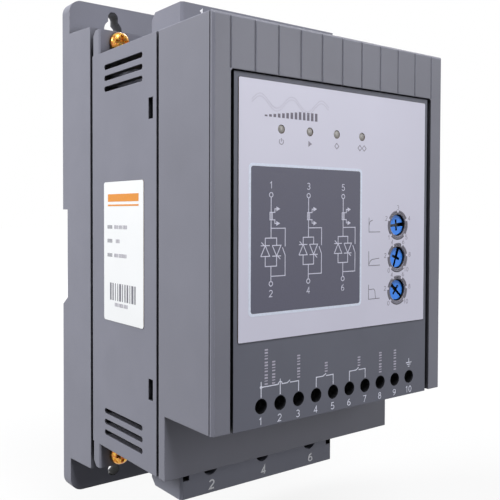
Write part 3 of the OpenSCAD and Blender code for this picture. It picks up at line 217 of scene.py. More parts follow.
def printedFilm(name, color, edgeColor, axis, roughness=0.38):
    material, tree, shader = emptyMaterial(name)
    place = objectCoordinates(tree)
    fine = noiseOf(tree, place, film["tooth"])
    normal = addNode(tree, "ShaderNodeNewGeometry").outputs["True Normal"]
    parts = addNode(tree, "ShaderNodeSeparateXYZ", {0: normal})
    edge = mapped(tree, calc(tree, "ABSOLUTE", parts.outputs[axis]), 1, 0, *film["cut"])
    face = clouded(tree, noiseOf(tree, place, film["clouds"]), color, *film["shades"])
    surfaced(tree, shader, mixedColor(tree, edge, face, edgeColor),
             mapped(tree, fine, *(roughness + v for v in film["uneven"])), bumped(tree, fine, *film["bump"]))
    return material


# screen-printed ink: slightly uneven cover, a little raised tooth
screenPrint = {"cover": 1500, "shades": (0.93, 1.05), "gloss": (0.42, 0.58), "bump": (0.15, 0.00001)}


def printInk(name, color):
    material, tree, shader = emptyMaterial(name)
    cover = noiseOf(tree, objectCoordinates(tree), screenPrint["cover"], detail=3)
    surfaced(tree, shader, clouded(tree, cover, color, *screenPrint["shades"]),
             mapped(tree, cover, *screenPrint["gloss"]), bumped(tree, cover, *screenPrint["bump"]))
    return material


# dial rotor: clear blue plastic, with black in the driver slot below its face; reach and depth in mm
rotor = {"color": ink(52, 142, 255), "shades": (0.94, 1.0), "slotColor": ink(8, 9, 14),
         "slotReach": (3.38, 3.46), "slotDepth": (0.03, 0.1), "tooth": 1800, "gloss": (0.26, 0.4),
         "softEdge": 0.00015, "bump": (0.2, 0.00001)}


def dialPlastic(name, node):
    low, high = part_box(node)
    middle = (low + high) / 2
    material, tree, shader = emptyMaterial(name)
    place = objectCoordinates(tree)
    offset = addNode(tree, "ShaderNodeVectorMath", {0: place, 1: middle}, operation="SUBTRACT")
    across, along, up = addNode(tree, "ShaderNodeSeparateXYZ", {0: offset.outputs[0]}).outputs
    reach = addNode(tree, "ShaderNodeVectorMath", {0: joinXyz(tree, across, 0, up)}, operation="LENGTH")
    inside = mapped(tree, reach.outputs["Value"], 1, 0, *(v * mm for v in rotor["slotReach"]))
    below = mapped(tree, along, 0, 1, *(low.y - middle.y + v * mm for v in rotor["slotDepth"]))
    fine = noiseOf(tree, place, rotor["tooth"])
    face = clouded(tree, fine, rotor["color"], *rotor["shades"])
    surfaced(tree, shader, mixedColor(tree, calc(tree, "MULTIPLY", inside, below), face, rotor["slotColor"]),
             mapped(tree, fine, *rotor["gloss"]),
             bumped(tree, fine, *rotor["bump"], softened(tree, rotor["softEdge"])))
    return material


# lamp lens: cloudy diffused epoxy, unlit
lens = {"haze": 700, "shades": (0.85, 1.1), "gloss": (0.22, 0.36), "bump": (0.1, 0.00002)}


def lampLens(name, color):
    material, tree, shader = emptyMaterial(name)
    haze = noiseOf(tree, objectCoordinates(tree), lens["haze"], detail=3)
    surfaced(tree, shader, clouded(tree, haze, color, *lens["shades"]), mapped(tree, haze, *lens["gloss"]),
             bumped(tree, haze, *lens["bump"]))
    return material


# circuit board: lacquer over a faint copper raster
lacquer = {"raster": 330.0, "track": (0.04, 0.1), "haze": 600, "gloss": (0.22, 0.38), "bump": (0.3, 0.00003)}


def boardLacquer(name, color, trackColor):
    material, tree, shader = emptyMaterial(name)
    place = objectCoordinates(tree)
    cells = addNode(tree, "ShaderNodeTexVoronoi", {"Vector": place, "Scale": lacquer["raster"]},
                    distance="MANHATTAN", feature="DISTANCE_TO_EDGE")
    track = mapped(tree, cells.outputs[0], 1, 0, *lacquer["track"])
    surfaced(tree, shader, mixedColor(tree, track, color, trackColor),
             mapped(tree, noiseOf(tree, place, lacquer["haze"]), *lacquer["gloss"]),
             bumped(tree, track, *lacquer["bump"]))
    return material


# by node where it has a finish of its own, or else by material slot
graphite, smallEdge = ink(124, 125, 137), 0.0002
# each moulding's recess sets its painted shade in hollows, and its edgeShare its painted edge highlight
finishes = {
    "housing": mouldedPlastic("graphitePlastic", graphite),
    "front_cover": mouldedPlastic("coverPlastic", ink(114, 115, 127), roughness=0.44, softEdge=0.00045,
                                  specular=0.45, edgeShare=1.9, recess=(0.12, 0.38, 0.8, 4)),
    # painted shade: the lower panel gets a darker grey than the cover, standing in for the light falling off down
    # the front
    "front_panel": mouldedPlastic("panelPlastic", ink(102, 104, 116), recess=(0.03, 0.5, 0.75, 9)),
    "main_body": mouldedPlastic("bodyPlastic", graphite, recess=(0.04, 0.48, 0.75, 6)),
    "line_terminal_block": mouldedPlastic("lineBlockPlastic", graphite, recess=(0.05, 0.45, 0.8, 4)),
    # painted light: the load block gets a lighter grey than the line block, standing in for light on its shaded
    # front
    "load_terminal_block": mouldedPlastic("loadBlockPlastic", ink(132, 134, 147), recess=(0.05, 0.45, 0.8, 4)),
    "mounting_base": mouldedPlastic("basePlastic", graphite, recess=(0.04, 0.48, 0.75, 8)),
    "black_plastic": mouldedPlastic("blackPlastic", ink(40, 40, 44), roughness=0.45, softEdge=smallEdge),
    "white_plastic": mouldedPlastic("whitePlastic", ink(222, 223, 226), roughness=0.42, softEdge=smallEdge,
                                    edgeShare=1.02),
    "overlay": printedFilm("panelFilm", ink(214, 213, 231), ink(150, 136, 128), 1),
    "sticker": printedFilm("stickerFilm", ink(239, 241, 243), ink(150, 136, 124), 0, roughness=0.5),
    "yellow_zinc": yellowZinc("yellowZinc"),
    "steel": workedMetal("zincSteel", ink(178, 181, 186), ink(150, 152, 156), 0.32),
    "aluminium": workedMetal("extrudedAluminium", ink(206, 208, 212), ink(188, 190, 195), 0.36),
    "copper": workedMetal("tinnedCopper", ink(214, 140, 98), ink(190, 112, 74), 0.3),
    "brass": workedMetal("turnedBrass", ink(222, 186, 104), ink(202, 164, 84), 0.26),
    "circuit_board": boardLacquer("boardLacquer", ink(30, 92, 58), ink(52, 122, 78)),
    "transformer": mouldedPlastic("transformerLaminations", ink(118, 88, 56), roughness=0.55, clouds=300,
                                  softEdge=smallEdge),
    "capacitor_sleeve": mouldedPlastic("capacitorSleeve", ink(34, 46, 84), roughness=0.3, softEdge=smallEdge),
    "film_capacitor": mouldedPlastic("filmCapacitor", ink(204, 164, 44), roughness=0.4, softEdge=smallEdge),
    "varistor_blue": mouldedPlastic("varistorCoat", ink(46, 98, 168), roughness=0.4, softEdge=smallEdge),
    "trimmer_blue": mouldedPlastic("trimmerBody", ink(22, 54, 120), roughness=0.4, softEdge=smallEdge),
    "lamp": lampLens("lampLens", ink(156, 153, 150)),
}
dialNames = ["start_voltage_dial", "start_time_dial", "stop_time_dial"]
for nodeName in dialNames:
    finishes[nodeName] = dialPlastic(nodeName + "Plastic", nodeName)
for part in frame["record"]["subparts"]:
    nodeName = part["node"]
    mesh = nodes[nodeName].data
    mesh.materials.clear()
    mesh.materials.append(finishes[nodeName if nodeName in finishes else part["material_slot"]])
print("materials set on", len(nodes), "nodes")

# the coil spring of the rail clip: a copy of its mesh, hung on the housing in place of the part
springNode = nodes["din_clip_spring"]
springMesh = springNode.data.copy()
springMesh.transform(springNode.matrix_world)
clipSpring = bpy.data.objects.new("clipSpring", springMesh)
scene.collection.objects.link(clipSpring)
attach(clipSpring, "housing")
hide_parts("din_clip_spring")
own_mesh(clipSpring)

# print: plates that start a little inside a face and stand a little proud of it, in levels where they overlap
printDepth = {"sunk": 0.02 * mm, "raised": 0.03 * mm, "level": 0.03 * mm}
printThick = printDepth["raised"] + printDepth["sunk"]
printMiddle = (printDepth["raised"] - printDepth["sunk"]) / 2


# places in mm on a face, and the way out of it in metres
def onFront(depth):
    return lambda u, v, out: Vector((u * mm, -depth - out, v * mm))


def onLeft(reach):
    return lambda u, v, out: Vector((reach - out, -u * mm, v * mm))


def housingPiece(name, mesh):
    piece = bpy.data.objects.new(name, mesh)
    scene.collection.objects.link(piece)
    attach(piece, "housing")


# closed plates over the union of the outlines, so that nothing lies twice in one plane
def plates(name, outlines, place, material, level=0):
    corners = [Vector(p) for outline in outlines for p in outline]
    loops, first = [], 0
    for outline in outlines:
        loops.append(list(range(first, first + len(outline))))
        first += len(outline)
    mergeReach, insideOnly = 1e-4, 1
    spots, _, cells, _, _, origins = delaunay_2d_cdt(corners, [], loops, insideOnly, mergeReach)
    cells = [cell for cell, owners in zip(cells, origins) if owners]
    edges = [edge for cell in cells for edge in zip(cell, cell[1:] + cell[:1])]
    known = set(edges)
    walls = [(a, b) for a, b in edges if (b, a) not in known]  # an edge with no twin lies on the rim
    used = sorted({i for cell in cells for i in cell})
    lower = {spot: i for i, spot in enumerate(used)}
    upper = {spot: i + len(used) for i, spot in enumerate(used)}
    base = level * printDepth["level"] - printDepth["sunk"]
    mesh = bpy.data.meshes.new(name)
    mesh.from_pydata([place(*spots[i], out) for out in (base, base + printThick) for i in used], [],
                     [[upper[i] for i in cell] for cell in cells]
                     + [[lower[i] for i in reversed(cell)] for cell in cells]
                     + [[lower[a], lower[b], upper[b], upper[a]] for a, b in walls])
    mesh.materials.append(material)
    housingPiece(name, mesh)


# ribbon along a line, with mitred corners and flat or closed ends
def ribbon(points, width, closed=False):
    points = [Vector(p) for p in points]
    count = len(points)
    sharpest = 0.35  # keeps the mitre of a narrow corner short
    left, right = [], []
    for i, point in enumerate(points):
        before = points[i - 1] if i or closed else None
        after = points[(i + 1) % count] if i < count - 1 or closed else None
        sides = [(b - a).normalized() for a, b in ((before, point), (point, after)) if a and b]
        normals = [Vector((-s.y, s.x)) for s in sides]
        mitre = sum(normals, Vector((0, 0))).normalized()
        reach = width / 2 / max(mitre.dot(normals[0]), sharpest)
        left.append(point + mitre * reach)
        right.append(point - mitre * reach)
    spans = range(count if closed else count - 1)
    return [[right[i], right[(i + 1) % count], left[(i + 1) % count], left[i]] for i in spans]


def ribbons(lines, width):
    return [quad for line in lines for quad in ribbon(line, width)]


def arc(u, v, radius, start, end, steps, stretch=1):
    turns = [math.radians(start + (end - start) * i / steps) for i in range(steps + 1)]
    return [(u + radius * math.cos(t), v + radius * stretch * math.sin(t)) for t in turns]


def roundedBox(low, high, radius, steps=6):
    corners = ((high[0] - radius, high[1] - radius, 0), (low[0] + radius, high[1] - radius, 90),
               (low[0] + radius, low[1] + radius, 180), (high[0] - radius, low[1] + radius, 270))
    return [p for u, v, start in corners for p in arc(u, v, radius, start, start + 90, steps)]


def ring(u, v, inner, outer, steps=24):
    quads = []
    for i in range(steps):
        a, b = (math.tau * k / steps for k in (i, i + 1))
        quads.append([(u + r * math.cos(t), v + r * math.sin(t))
                      for r, t in ((inner, a), (outer, a), (outer, b), (inner, b))])
    return quads


# strokes of the plain numbers, in a box one high
digits = {"box": 0.6, "widen": 1.12, "advance": 0.84}


def digitLines(digit):
    if digit == "0":
        return [arc(0.3, 0.5, 0.27, 0, 360, 24, 1.8)]
    if digit == "1":
        return [[(0.12, 0.78), (0.36, 1.0), (0.36, 0.0)]]
    if digit == "2":
        return [arc(0.3, 0.72, 0.27, 165, -32, 12) + [(0.03, 0.0), (0.58, 0.0)]]
    if digit == "3":
        return [arc(0.28, 0.75, 0.25, 150, -90, 12), arc(0.28, 0.25, 0.28, 90, -150, 12, 0.9)]
    if digit == "4":
        return [[(0.44, 0.0), (0.44, 1.0), (0.03, 0.3), (0.62, 0.3)]]
    if digit == "5":
        return [[(0.53, 1.0), (0.13, 1.0)] + arc(0.28, 0.31, 0.3, 130, -150, 14)]
    if digit == "6":
        return [arc(0.3, 0.3, 0.27, 0, 360, 20), [(0.03, 0.3), (0.06, 0.58), (0.18, 0.82), (0.48, 0.99)]]
    if digit == "7":
        return [[(0.02, 1.0), (0.58, 1.0), (0.2, 0.0)]]
    if digit == "8":
        return [arc(0.3, 0.76, 0.22, 0, 360, 20), arc(0.3, 0.27, 0.27, 0, 360, 20)]
    return [[(digits["box"] - u, 1 - v) for u, v in line] for line in digitLines("6")]


# plain numbers of a given height, each middle at its place
def numbers(name, marks, size, place, material, level=0, weight=0.12):
    box, widen, advance = digits["box"], digits["widen"], digits["advance"]
    lines = []
    for text, u, v in marks:
        start = u - (advance * (len(text) - 1) + box * widen) / 2 * size
        for i, digit in enumerate(text):
            lines += [[(start + (a * widen + advance * i) * size, v + (b - 0.5) * size) for a, b in line]
                      for line in digitLines(digit)]
    plates(name, ribbons(lines, weight * size), place, material, level)


# geometry nodes for what repeats
def nodeTree(name, inputs):
    tree = bpy.data.node_groups.new(name, "GeometryNodeTree")
    tree.interface.new_socket("Geometry", in_out="INPUT", socket_type="NodeSocketGeometry")
    for label, kind in inputs:
        tree.interface.new_socket(label, in_out="INPUT", socket_type="NodeSocket" + kind)
    tree.interface.new_socket("Geometry", in_out="OUTPUT", socket_type="NodeSocketGeometry")
    return tree, tree.nodes.new("NodeGroupInput"), tree.nodes.new("NodeGroupOutput")


def closeTree(tree, instances, given, done):
    realize = addNode(tree, "GeometryNodeRealizeInstances", {0: instances})
    dress = addNode(tree, "GeometryNodeSetMaterial",
                    {"Geometry": realize.outputs[0], "Material": given.outputs["Finish"]})
    tree.links.new(dress.outputs[0], done.inputs[0])


# runs a tree on seed points and keeps the result as a plain mesh
def grown(name, tree, seeds, values, turn=None):
    mesh = bpy.data.meshes.new(name + "Seeds")
    mesh.from_pydata(seeds, [], [])
    maker = bpy.data.objects.new(name + "Maker", mesh)
    scene.collection.objects.link(maker)
    modifier = maker.modifiers.new("grow", "NODES")
    modifier.node_group = tree
    for item in tree.interface.items_tree:
        if item.in_out == "INPUT" and item.name in values:
            modifier[item.identifier] = values[item.name]
    bpy.context.view_layer.update()
    view = bpy.context.evaluated_depsgraph_get()
    result = bpy.data.meshes.new_from_object(maker.evaluated_get(view))
    bpy.data.objects.remove(maker)
    if turn:
        result.transform(turn)
    bm = bmesh.new()
    bm.from_mesh(result)
    bmesh.ops.remove_doubles(bm, verts=bm.verts[:], dist=1e-7)
    bmesh.ops.recalc_face_normals(bm, faces=bm.faces[:])
    bm.to_mesh(result)
    bm.free()
    result.name = name
    housingPiece(name, result)


# printed scale round each seed point, in the front plane: a thin ring, arcs outside it and one wide arc below
def scaleTree():
    tree, given, done = nodeTree("dialScale", [
        ("Inner Radius", "Float"), ("Ring Radius", "Float"), ("Outer Radius", "Float"),
        ("Thickness", "Float"), ("Arcs", "Int"), ("Sweep", "Float"), ("Gap", "Float"), ("Finish", "Material")])
    seeds, inner, between, outer, thickness, arcs, sweep, gap = given.outputs[:8]
    arcSteps, footSteps, ringSteps = 13, 17, 49

    def band(low, high, start, turn, steps):
        middle = calc(tree, "MULTIPLY", calc(tree, "ADD", low, high), 0.5)
        path = addNode(tree, "GeometryNodeCurveArc", {"Resolution": steps, "Radius": middle,
                                                      "Start Angle": start, "Sweep Angle": turn})
        section = addNode(tree, "GeometryNodeCurvePrimitiveQuadrilateral",
                          {"Width": calc(tree, "SUBTRACT", high, low), "Height": thickness})
        return addNode(tree, "GeometryNodeCurveToMesh", {"Curve": path.outputs[0], "Fill Caps": True,
                                                         "Profile Curve": section.outputs[0]}).outputs[0]

    halfGap = calc(tree, "MULTIPLY", gap, 0.5)
    step = calc(tree, "DIVIDE", sweep, arcs)
    first = calc(tree, "SUBTRACT", math.pi / 2, calc(tree, "MULTIPLY", sweep, 0.5))
    spots = addNode(tree, "GeometryNodeMeshLine", {"Count": arcs, "Offset": (0, 0, 0)})
    index = addNode(tree, "GeometryNodeInputIndex").outputs[0]
    spin = joinXyz(tree, 0, 0, calc(tree, "ADD", calc(tree, "MULTIPLY", index, step), first))
    oneArc = band(between, outer, halfGap, calc(tree, "SUBTRACT", step, gap), arcSteps)
    wheel = addNode(tree, "GeometryNodeInstanceOnPoints",
                    {"Points": spots.outputs[0], "Instance": oneArc, "Rotation": spin})
    footStart = calc(tree, "ADD", calc(tree, "ADD", first, sweep), halfGap)
    footTurn = calc(tree, "SUBTRACT", calc(tree, "SUBTRACT", math.tau, sweep), gap)
    whole = addNode(tree, "GeometryNodeJoinGeometry")
    for part in (wheel.outputs[0], band(between, outer, footStart, footTurn, footSteps),
                 band(inner, between, 0.0, math.tau, ringSteps)):
        tree.links.new(part, whole.inputs[0])
    upright = addNode(tree, "GeometryNodeInstanceOnPoints",
                      {"Points": seeds, "Instance": whole.outputs[0], "Rotation": (math.pi / 2, 0, 0)})
    closeTree(tree, upright.outputs[0], given, done)
    return tree


# row of bars on one line, in the xy plane: their height ramps up, their width is even or drawn by lot
def barTree():
    tree, given, done = nodeTree("barRow", [
        ("Count", "Int"), ("Pitch", "Float"), ("Thinnest", "Float"), ("Thickest", "Float"),
        ("First Height", "Float"), ("Rise", "Float"), ("Full Height", "Float"), ("Thickness", "Float"),
        ("Seed", "Int"), ("Finish", "Material")])
    starts, count, pitch, thinnest, thickest, firstHeight, rise, fullHeight, thickness, seed = given.outputs[:10]
    line = addNode(tree, "GeometryNodeMeshLine", {"Count": count, "Offset": joinXyz(tree, pitch, 0, 0)})
    index = addNode(tree, "GeometryNodeInputIndex").outputs[0]
    lot = addNode(tree, "FunctionNodeRandomValue", {2: thinnest, 3: thickest, "ID": index, "Seed": seed})
    ramp = calc(tree, "ADD", calc(tree, "MULTIPLY", index, rise), firstHeight)
    height = calc(tree, "MINIMUM", ramp, fullHeight)
    bar = addNode(tree, "GeometryNodeMeshCube", {"Size": (1, 1, 1)})
    lift = addNode(tree, "GeometryNodeTransform", {0: bar.outputs[0], "Translation": (0, 0.5, 0)})
    row = addNode(tree, "GeometryNodeInstanceOnPoints",
                  {"Points": line.outputs[0], "Instance": lift.outputs[0],
                   "Scale": joinXyz(tree, lot.outputs[1], height, thickness)})
    rows = addNode(tree, "GeometryNodeInstanceOnPoints", {"Points": starts, "Instance": row.outputs[0]})
    closeTree(tree, rows.outputs[0], given, done)
    return tree


barRow = barTree()


# rows of bars from the given starts; the turn brings the xy plane to the printed face
def barRows(name, starts, row, material, turn):
    thinnest, thickest = row["widths"]
    first, rise, full = row["heights"]
    grown(name, barRow, [(u * mm, v * mm, 0) for u, v in starts],
          {"Count": row["count"], "Pitch": row["pitch"] * mm, "Thinnest": thinnest * mm,
           "Thickest": thickest * mm, "First Height": first * mm, "Rise": rise * mm, "Full Height": full * mm,
           "Thickness": printThick, "Seed": row["seed"], "Finish": material}, turn)


# print on the overlay, in mm
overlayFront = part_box("panel_overlay")[0].y
onOverlay = onFront(-overlayFront)
inks = {
    "slate": printInk("slateInk", ink(84, 84, 102)),
    "lilac": printInk("lilacInk", ink(226, 233, 251)),
    "line": printInk("lineInk", ink(216, 216, 234)),
    "grey": printInk("greyInk", ink(108, 106, 118)),
    "pale": printInk("paleInk", ink(142, 138, 152)),
    "faint": printInk("faintInk", ink(180, 176, 193)),
    "dark": printInk("darkInk", ink(104, 99, 114)),
    "white": printInk("whiteInk", ink(226, 228, 244)),
    "block": printInk("blockInk", ink(246, 247, 253)),
    "orange": printInk("orangeInk", ink(222, 142, 48)),
    "text": printInk("textInk", ink(112, 112, 122)),
}

diagram = {"low": (-37.9, -16.6), "high": (8.9, 28.25), "border": 0.85, "corner": 0.9, "outerCorner": 1.4,
           "columns": (-30.1, -14.65, 0.8), "line": 0.29, "terminal": 0.85, "top": 19.6, "bottom": -7.8,
           "number": 2.0, "numberGap": 3.0,
           "leg": 2.25, "legTop": 6.3, "legBottom": -2.4,
           "valve": 1.75, "valveTop": 4.0, "valveBottom": 0.7, "gate": (0.4, 1.5, 1.0),
           "branch": 5.7, "branchTop": 9.3, "branchBottom": -5.5,
           "contact": 3.6, "bladeTip": (1.1, 3.3), "bladeFoot": 0.9,
           "sensor": (14.2, 11.9), "sensorHalf": 1.6,  # half its width, in line widths
           "tap": 1.1, "tapStart": 1.5, "arrow": 2.1, "head": 0.75}
frameInner = roundedBox(diagram["low"], diagram["high"], diagram["corner"])
frameOuter = roundedBox([v - diagram["border"] for v in diagram["low"]],
                        [v + diagram["border"] for v in diagram["high"]], diagram["outerCorner"])
around = list(zip(frameInner, frameOuter))
rim = [[a, b, d, c] for (a, b), (c, d) in zip(around, around[1:] + around[:1])]
plates("diagramBorder", rim, onOverlay, inks["lilac"])
plates("diagramField", [frameInner], onOverlay, inks["slate"])


# one phase: terminals, a sensor with two taps, two valves head to foot and a contact beside them
def phase(x):
    d, w, v = diagram, diagram["line"], diagram["valve"]
    left, right, side = x - d["leg"], x + d["leg"], x + d["branch"]
    bladeOut, bladeTop = d["bladeTip"]
    lines = [
        [(x, d["top"] - d["terminal"]), (x, d["legTop"])],
        [(left, d["valveTop"]), (left, d["legTop"]), (right, d["legTop"]), (right, d["valveTop"])],
        [(left, d["valveBottom"]), (left, d["legBottom"]), (right, d["legBottom"]),
         (right, d["valveBottom"])],
        [(x, d["legBottom"]), (x, d["bottom"] + d["terminal"])],
        [(x, d["branchTop"]), (side, d["branchTop"]), (side, d["contact"])],
        [(side - bladeOut, bladeTop), (side, d["bladeFoot"]), (side, d["branchBottom"]), (x, d["branchBottom"])],
    ]
    gateStart, gateEnd, gateRise = d["gate"]
    for u, tip, foot in ((left, d["valveTop"], d["valveBottom"]), (right, d["valveBottom"], d["valveTop"])):
        way = 1 if tip > foot else -1
        lines += [[(u - v, foot), (u, tip), (u + v, foot), (u - v, foot)],
                  [(u - v, tip), (u + v, tip)],
                  [(u - way * gateStart, tip), (u - way * gateEnd, tip + way * gateRise)]]
    quads = []
    upper, lower = d["sensor"]
    for z, tap in ((upper, upper + d["tap"]), (lower, lower - d["tap"])):
        lines += [[(x, z), (x + d["tapStart"], z), (x + d["tapStart"], tap), (x + d["arrow"], tap)]]
        quads += [[(x + d["arrow"], tap - d["head"]), (x + d["arrow"] + 2 * d["head"], tap),
                   (x + d["arrow"], tap + d["head"])]]
    half = w * d["sensorHalf"]
    quads += ribbons(lines, w)
    quads += ribbon([(x - half, lower), (x + half, lower), (x + half, upper), (x - half, upper)], w, True)
    for z in (d["top"], d["bottom"]):
        quads += ring(x, z, d["terminal"] - w, d["terminal"])
    return quads


plates("diagramLines", [q for x in diagram["columns"] for q in phase(x)], onOverlay, inks["line"], 1)
numberRows = (diagram["top"] + diagram["numberGap"], diagram["bottom"] - diagram["numberGap"])
plateNumbers = [(str(2 * i + 1 + foot), x, numberRows[foot])
                for i, x in enumerate(diagram["columns"]) for foot in (0, 1)]
numbers("diagramNumbers", plateNumbers, diagram["number"], onOverlay, inks["line"], 1)

dialScale = {"inner": 3.95, "ring": 4.5, "outer": 5.25, "sweep": 270, "gap": 10, "number": 1.5, "reach": 6.55,
             "flatten": 0.95}
dialMarks = [[str(n) for n in marks] for marks in (range(1, 6), range(0, 11, 2), range(0, 11, 2))]
dialMiddles = [sum(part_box(n), Vector()) / 2 for n in dialNames]
scaleRing = scaleTree()
for name, dials in (("voltageScale", (0,)), ("timeScales", (1, 2))):
    grown(name, scaleRing, [(dialMiddles[i].x, overlayFront - printMiddle, dialMiddles[i].z) for i in dials],
          {"Inner Radius": dialScale["inner"] * mm, "Ring Radius": dialScale["ring"] * mm,
           "Outer Radius": dialScale["outer"] * mm, "Thickness": printThick,
           "Arcs": len(dialMarks[dials[0]]) - 1, "Sweep": math.radians(dialScale["sweep"]),
           "Gap": math.radians(dialScale["gap"]), "Finish": inks["grey"]})
scaleMarks = []
for middle, marks in zip(dialMiddles, dialMarks):
    for i, text in enumerate(marks):
        turn = math.radians(90 + dialScale["sweep"] * (0.5 - i / (len(marks) - 1)))
        scaleMarks.append((text, middle.x / mm + dialScale["reach"] * math.cos(turn),
                           middle.z / mm + dialScale["reach"] * dialScale["flatten"] * math.sin(turn)))
numbers("dialNumbers", scaleMarks, dialScale["number"], onOverlay, inks["pale"])

# small curves beside the dials: a step up, a slow rise and a slow fall
rampIcons = {"left": 13.3, "width": 5.6, "low": -2.3, "height": 5.0, "line": 0.22,
             "curves": (((0.0, 2.2), (0.5, 3.6), (1.8, 4.1)),
                        ((0.0, 0.2), (0.7, 1.5), (1.6, 2.1), (5.2, 2.4)),
                        ((0.0, 3.3), (2.6, 3.4), (3.2, 2.6), (3.5, 0.1)))}
iconLines = []
for middle, curve in zip(dialMiddles, rampIcons["curves"]):
    u, v = rampIcons["left"], middle.z / mm + rampIcons["low"]
    iconLines += [[(u, v + rampIcons["height"]), (u, v), (u + rampIcons["width"], v)],
                  [(u + a, v + b) for a, b in curve]]
plates("rampIcons", ribbons(iconLines, rampIcons["line"]), onOverlay, inks["grey"])

# above the lamps: a rising row of bars and two faint broken waves
titleBars = {"start": (-32.2, 43.5), "count": 13, "pitch": 1.72, "widths": (1.05, 1.05),
             "heights": (0.5, 0.24, 2.5), "seed": 1}
frontTurn = Matrix(((1, 0, 0, 0), (0, 0, -1, overlayFront - printMiddle), (0, 1, 0, 0), (0, 0, 0, 1)))
barRows("titleBars", [titleBars["start"]], titleBars, inks["dark"], frontTurn)
wave = {"from": -37.6, "to": -6.0, "middle": 47.4, "height": 2.0, "turns": 2.5, "dashes": 60, "dash": 0.6,
        "offsets": (0, 0.9), "line": 0.16}


def wavePoint(share, offset):
    turn = math.tau * wave["turns"] * share
    return (wave["from"] + (wave["to"] - wave["from"]) * share,
            wave["middle"] + offset + wave["height"] * math.sin(turn))


dashes = [[wavePoint((i + wave["dash"] * k) / wave["dashes"], offset) for k in (0, 0.5, 1)]
          for offset in wave["offsets"] for i in range(wave["dashes"])]
plates("titleWave", ribbons(dashes, wave["line"]), onOverlay, inks["faint"])

# one plain sign under each lamp: a ring with a stem, an arrow, a diamond and two diamonds
lampSigns = {"drop": 3.85, "size": 0.95, "line": 0.24, "ring": (0.9, 125, 415), "stem": 1.15, "arrow": (0.7, 0.9),
             "apart": 1.1}
signQuads = []
for i in range(4):
    middle = sum(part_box(f"status_lamp_{i + 1}"), Vector()) / 2
    u, v, s, w = middle.x / mm, middle.z / mm - lampSigns["drop"], lampSigns["size"], lampSigns["line"]
    if i == 0:
        radius, start, end = lampSigns["ring"]
        signQuads += ribbon(arc(u, v, s * radius, start, end, steps=16), w)
        signQuads += ribbon([(u, v), (u, v + s * lampSigns["stem"])], w)
    elif i == 1:
        back, tip = (s * share for share in lampSigns["arrow"])
        signQuads += [[(u - back, v - s), (u + tip, v), (u - back, v + s)]]
    else:
        apart = s * lampSigns["apart"]
        for k in ((0,) if i == 2 else (-apart, apart)):
            signQuads += ribbon([(u + k, v - s), (u + k + s, v), (u + k, v + s), (u + k - s, v)], w, True)
plates("lampSigns", signQuads, onOverlay, inks["pale"])
print("overlay printed")

# print on the lower panel: heights are over the middle of the terminals
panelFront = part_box("front_panel")[0].y
onPanel = onFront(-panelFront)
wayMarks = {"count": 10, "number": 2.15, "shift": -0.2, "drop": 4.6, "line": 0.3, "foot": 2.65, "bridge": 5.9,
            "notch": 0.75, "blade": 0.7, "catch": 0.25}
wayLow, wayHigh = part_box("control_terminal_screws")
wayR = (wayHigh.z - wayLow.z) / 2
wayPitch = (wayHigh.x - wayLow.x - 2 * wayR) / (wayMarks["count"] - 1)
ways = [(wayLow.x + wayR + i * wayPitch) / mm for i in range(wayMarks["count"])]
wayZ = (wayHigh.z + wayLow.z) / 2 / mm
wayNumbers = [(str(i + 1), x + wayMarks["shift"], wayZ - wayMarks["drop"]) for i, x in enumerate(ways)]
numbers("terminalNumbers", wayNumbers, wayMarks["number"], onPanel, inks["white"])
foot, bridge = wayZ + wayMarks["foot"], wayZ + wayMarks["bridge"]


# contact between two terminals, with an open blade
def contactLines(a, b):
    n = wayMarks["notch"]
    middle = (a + b) / 2
    return [[(a, foot), (a, bridge), (middle - n, bridge), (middle + n * wayMarks["blade"], bridge + n)],
            [(middle + n, bridge + n * wayMarks["catch"]), (middle + n, bridge), (b, bridge), (b, foot)]]


# start line: two risers, the bridge humps over the second one and ends in a contact before the third terminal
startLine = {"riser": 1.7, "hump": 0.8, "hinge": 2.9, "blade": (4.0, 0.75), "catch": (4.2, 0.2), "dot": 0.5}


def startLines(a, b, c):
    hump, riser = startLine["hump"], bridge + startLine["riser"]
    bladeX, bladeRise = startLine["blade"]
    catchX, catchRise = startLine["catch"]
    return [[(a, foot), (a, riser)],
            [(a, bridge), (b - hump, bridge)] + arc(b, bridge, hump, 180, 0, steps=8)
            + [(b + startLine["hinge"], bridge), (b + bladeX, bridge + bladeRise)],
            [(b + catchX, bridge + catchRise), (b + catchX, bridge), (c, bridge), (c, foot)],
            [(b, foot), (b, riser)]]


# earth sign: a stem and three bars, given by half their width and their height
earthSign = {"shift": -0.1, "stem": (6.7, 5.2), "bars": ((1.5, 5.2), (0.95, 4.5), (0.4, 3.8))}
earthX = ways[-1] + earthSign["shift"]
wayLines = contactLines(ways[3], ways[4]) + contactLines(ways[5], ways[6]) + startLines(*ways[:3])
wayLines += [[(earthX, wayZ + v) for v in earthSign["stem"]]]
wayLines += [[(earthX - half, wayZ + v), (earthX + half, wayZ + v)] for half, v in earthSign["bars"]]
wayDots = [arc(ways[0], bridge, startLine["dot"], 0, 330, steps=11)]
plates("terminalLines", ribbons(wayLines, wayMarks["line"]) + wayDots, onPanel, inks["white"])

# upright rows of small strokes over the terminals: terminal, share of the pitch beside it, heights of the groups
wayWords = {"count": 4, "pitch": 0.92, "widths": (0.3, 0.55), "heights": (1.25, 0, 1.25), "seed": 9,
            "starts": ((0, 0.26, (6.7, 10.6, 14.5)), (0, 0.65, (6.6, 10.5)), (2, 0, (7.1, 11.2)),
                       (3, 0.58, (7.4,)), (5, 0.6, (7.4,)), (7, 0, (3.7, 7.7)), (8, 0, (3.7, 7.7)))}
uprightTurn = Matrix(((0, -1, 0, 0), (0, 0, -1, panelFront - printMiddle), (1, 0, 0, 0), (0, 0, 0, 1)))
wayStarts = [(wayZ + v, -(ways[i] + share * wayPitch / mm) - wayWords["heights"][0] / 2)
             for i, share, rises in wayWords["starts"] for v in rises]
barRows("terminalWords", wayStarts, wayWords, inks["faint"], uprightTurn)

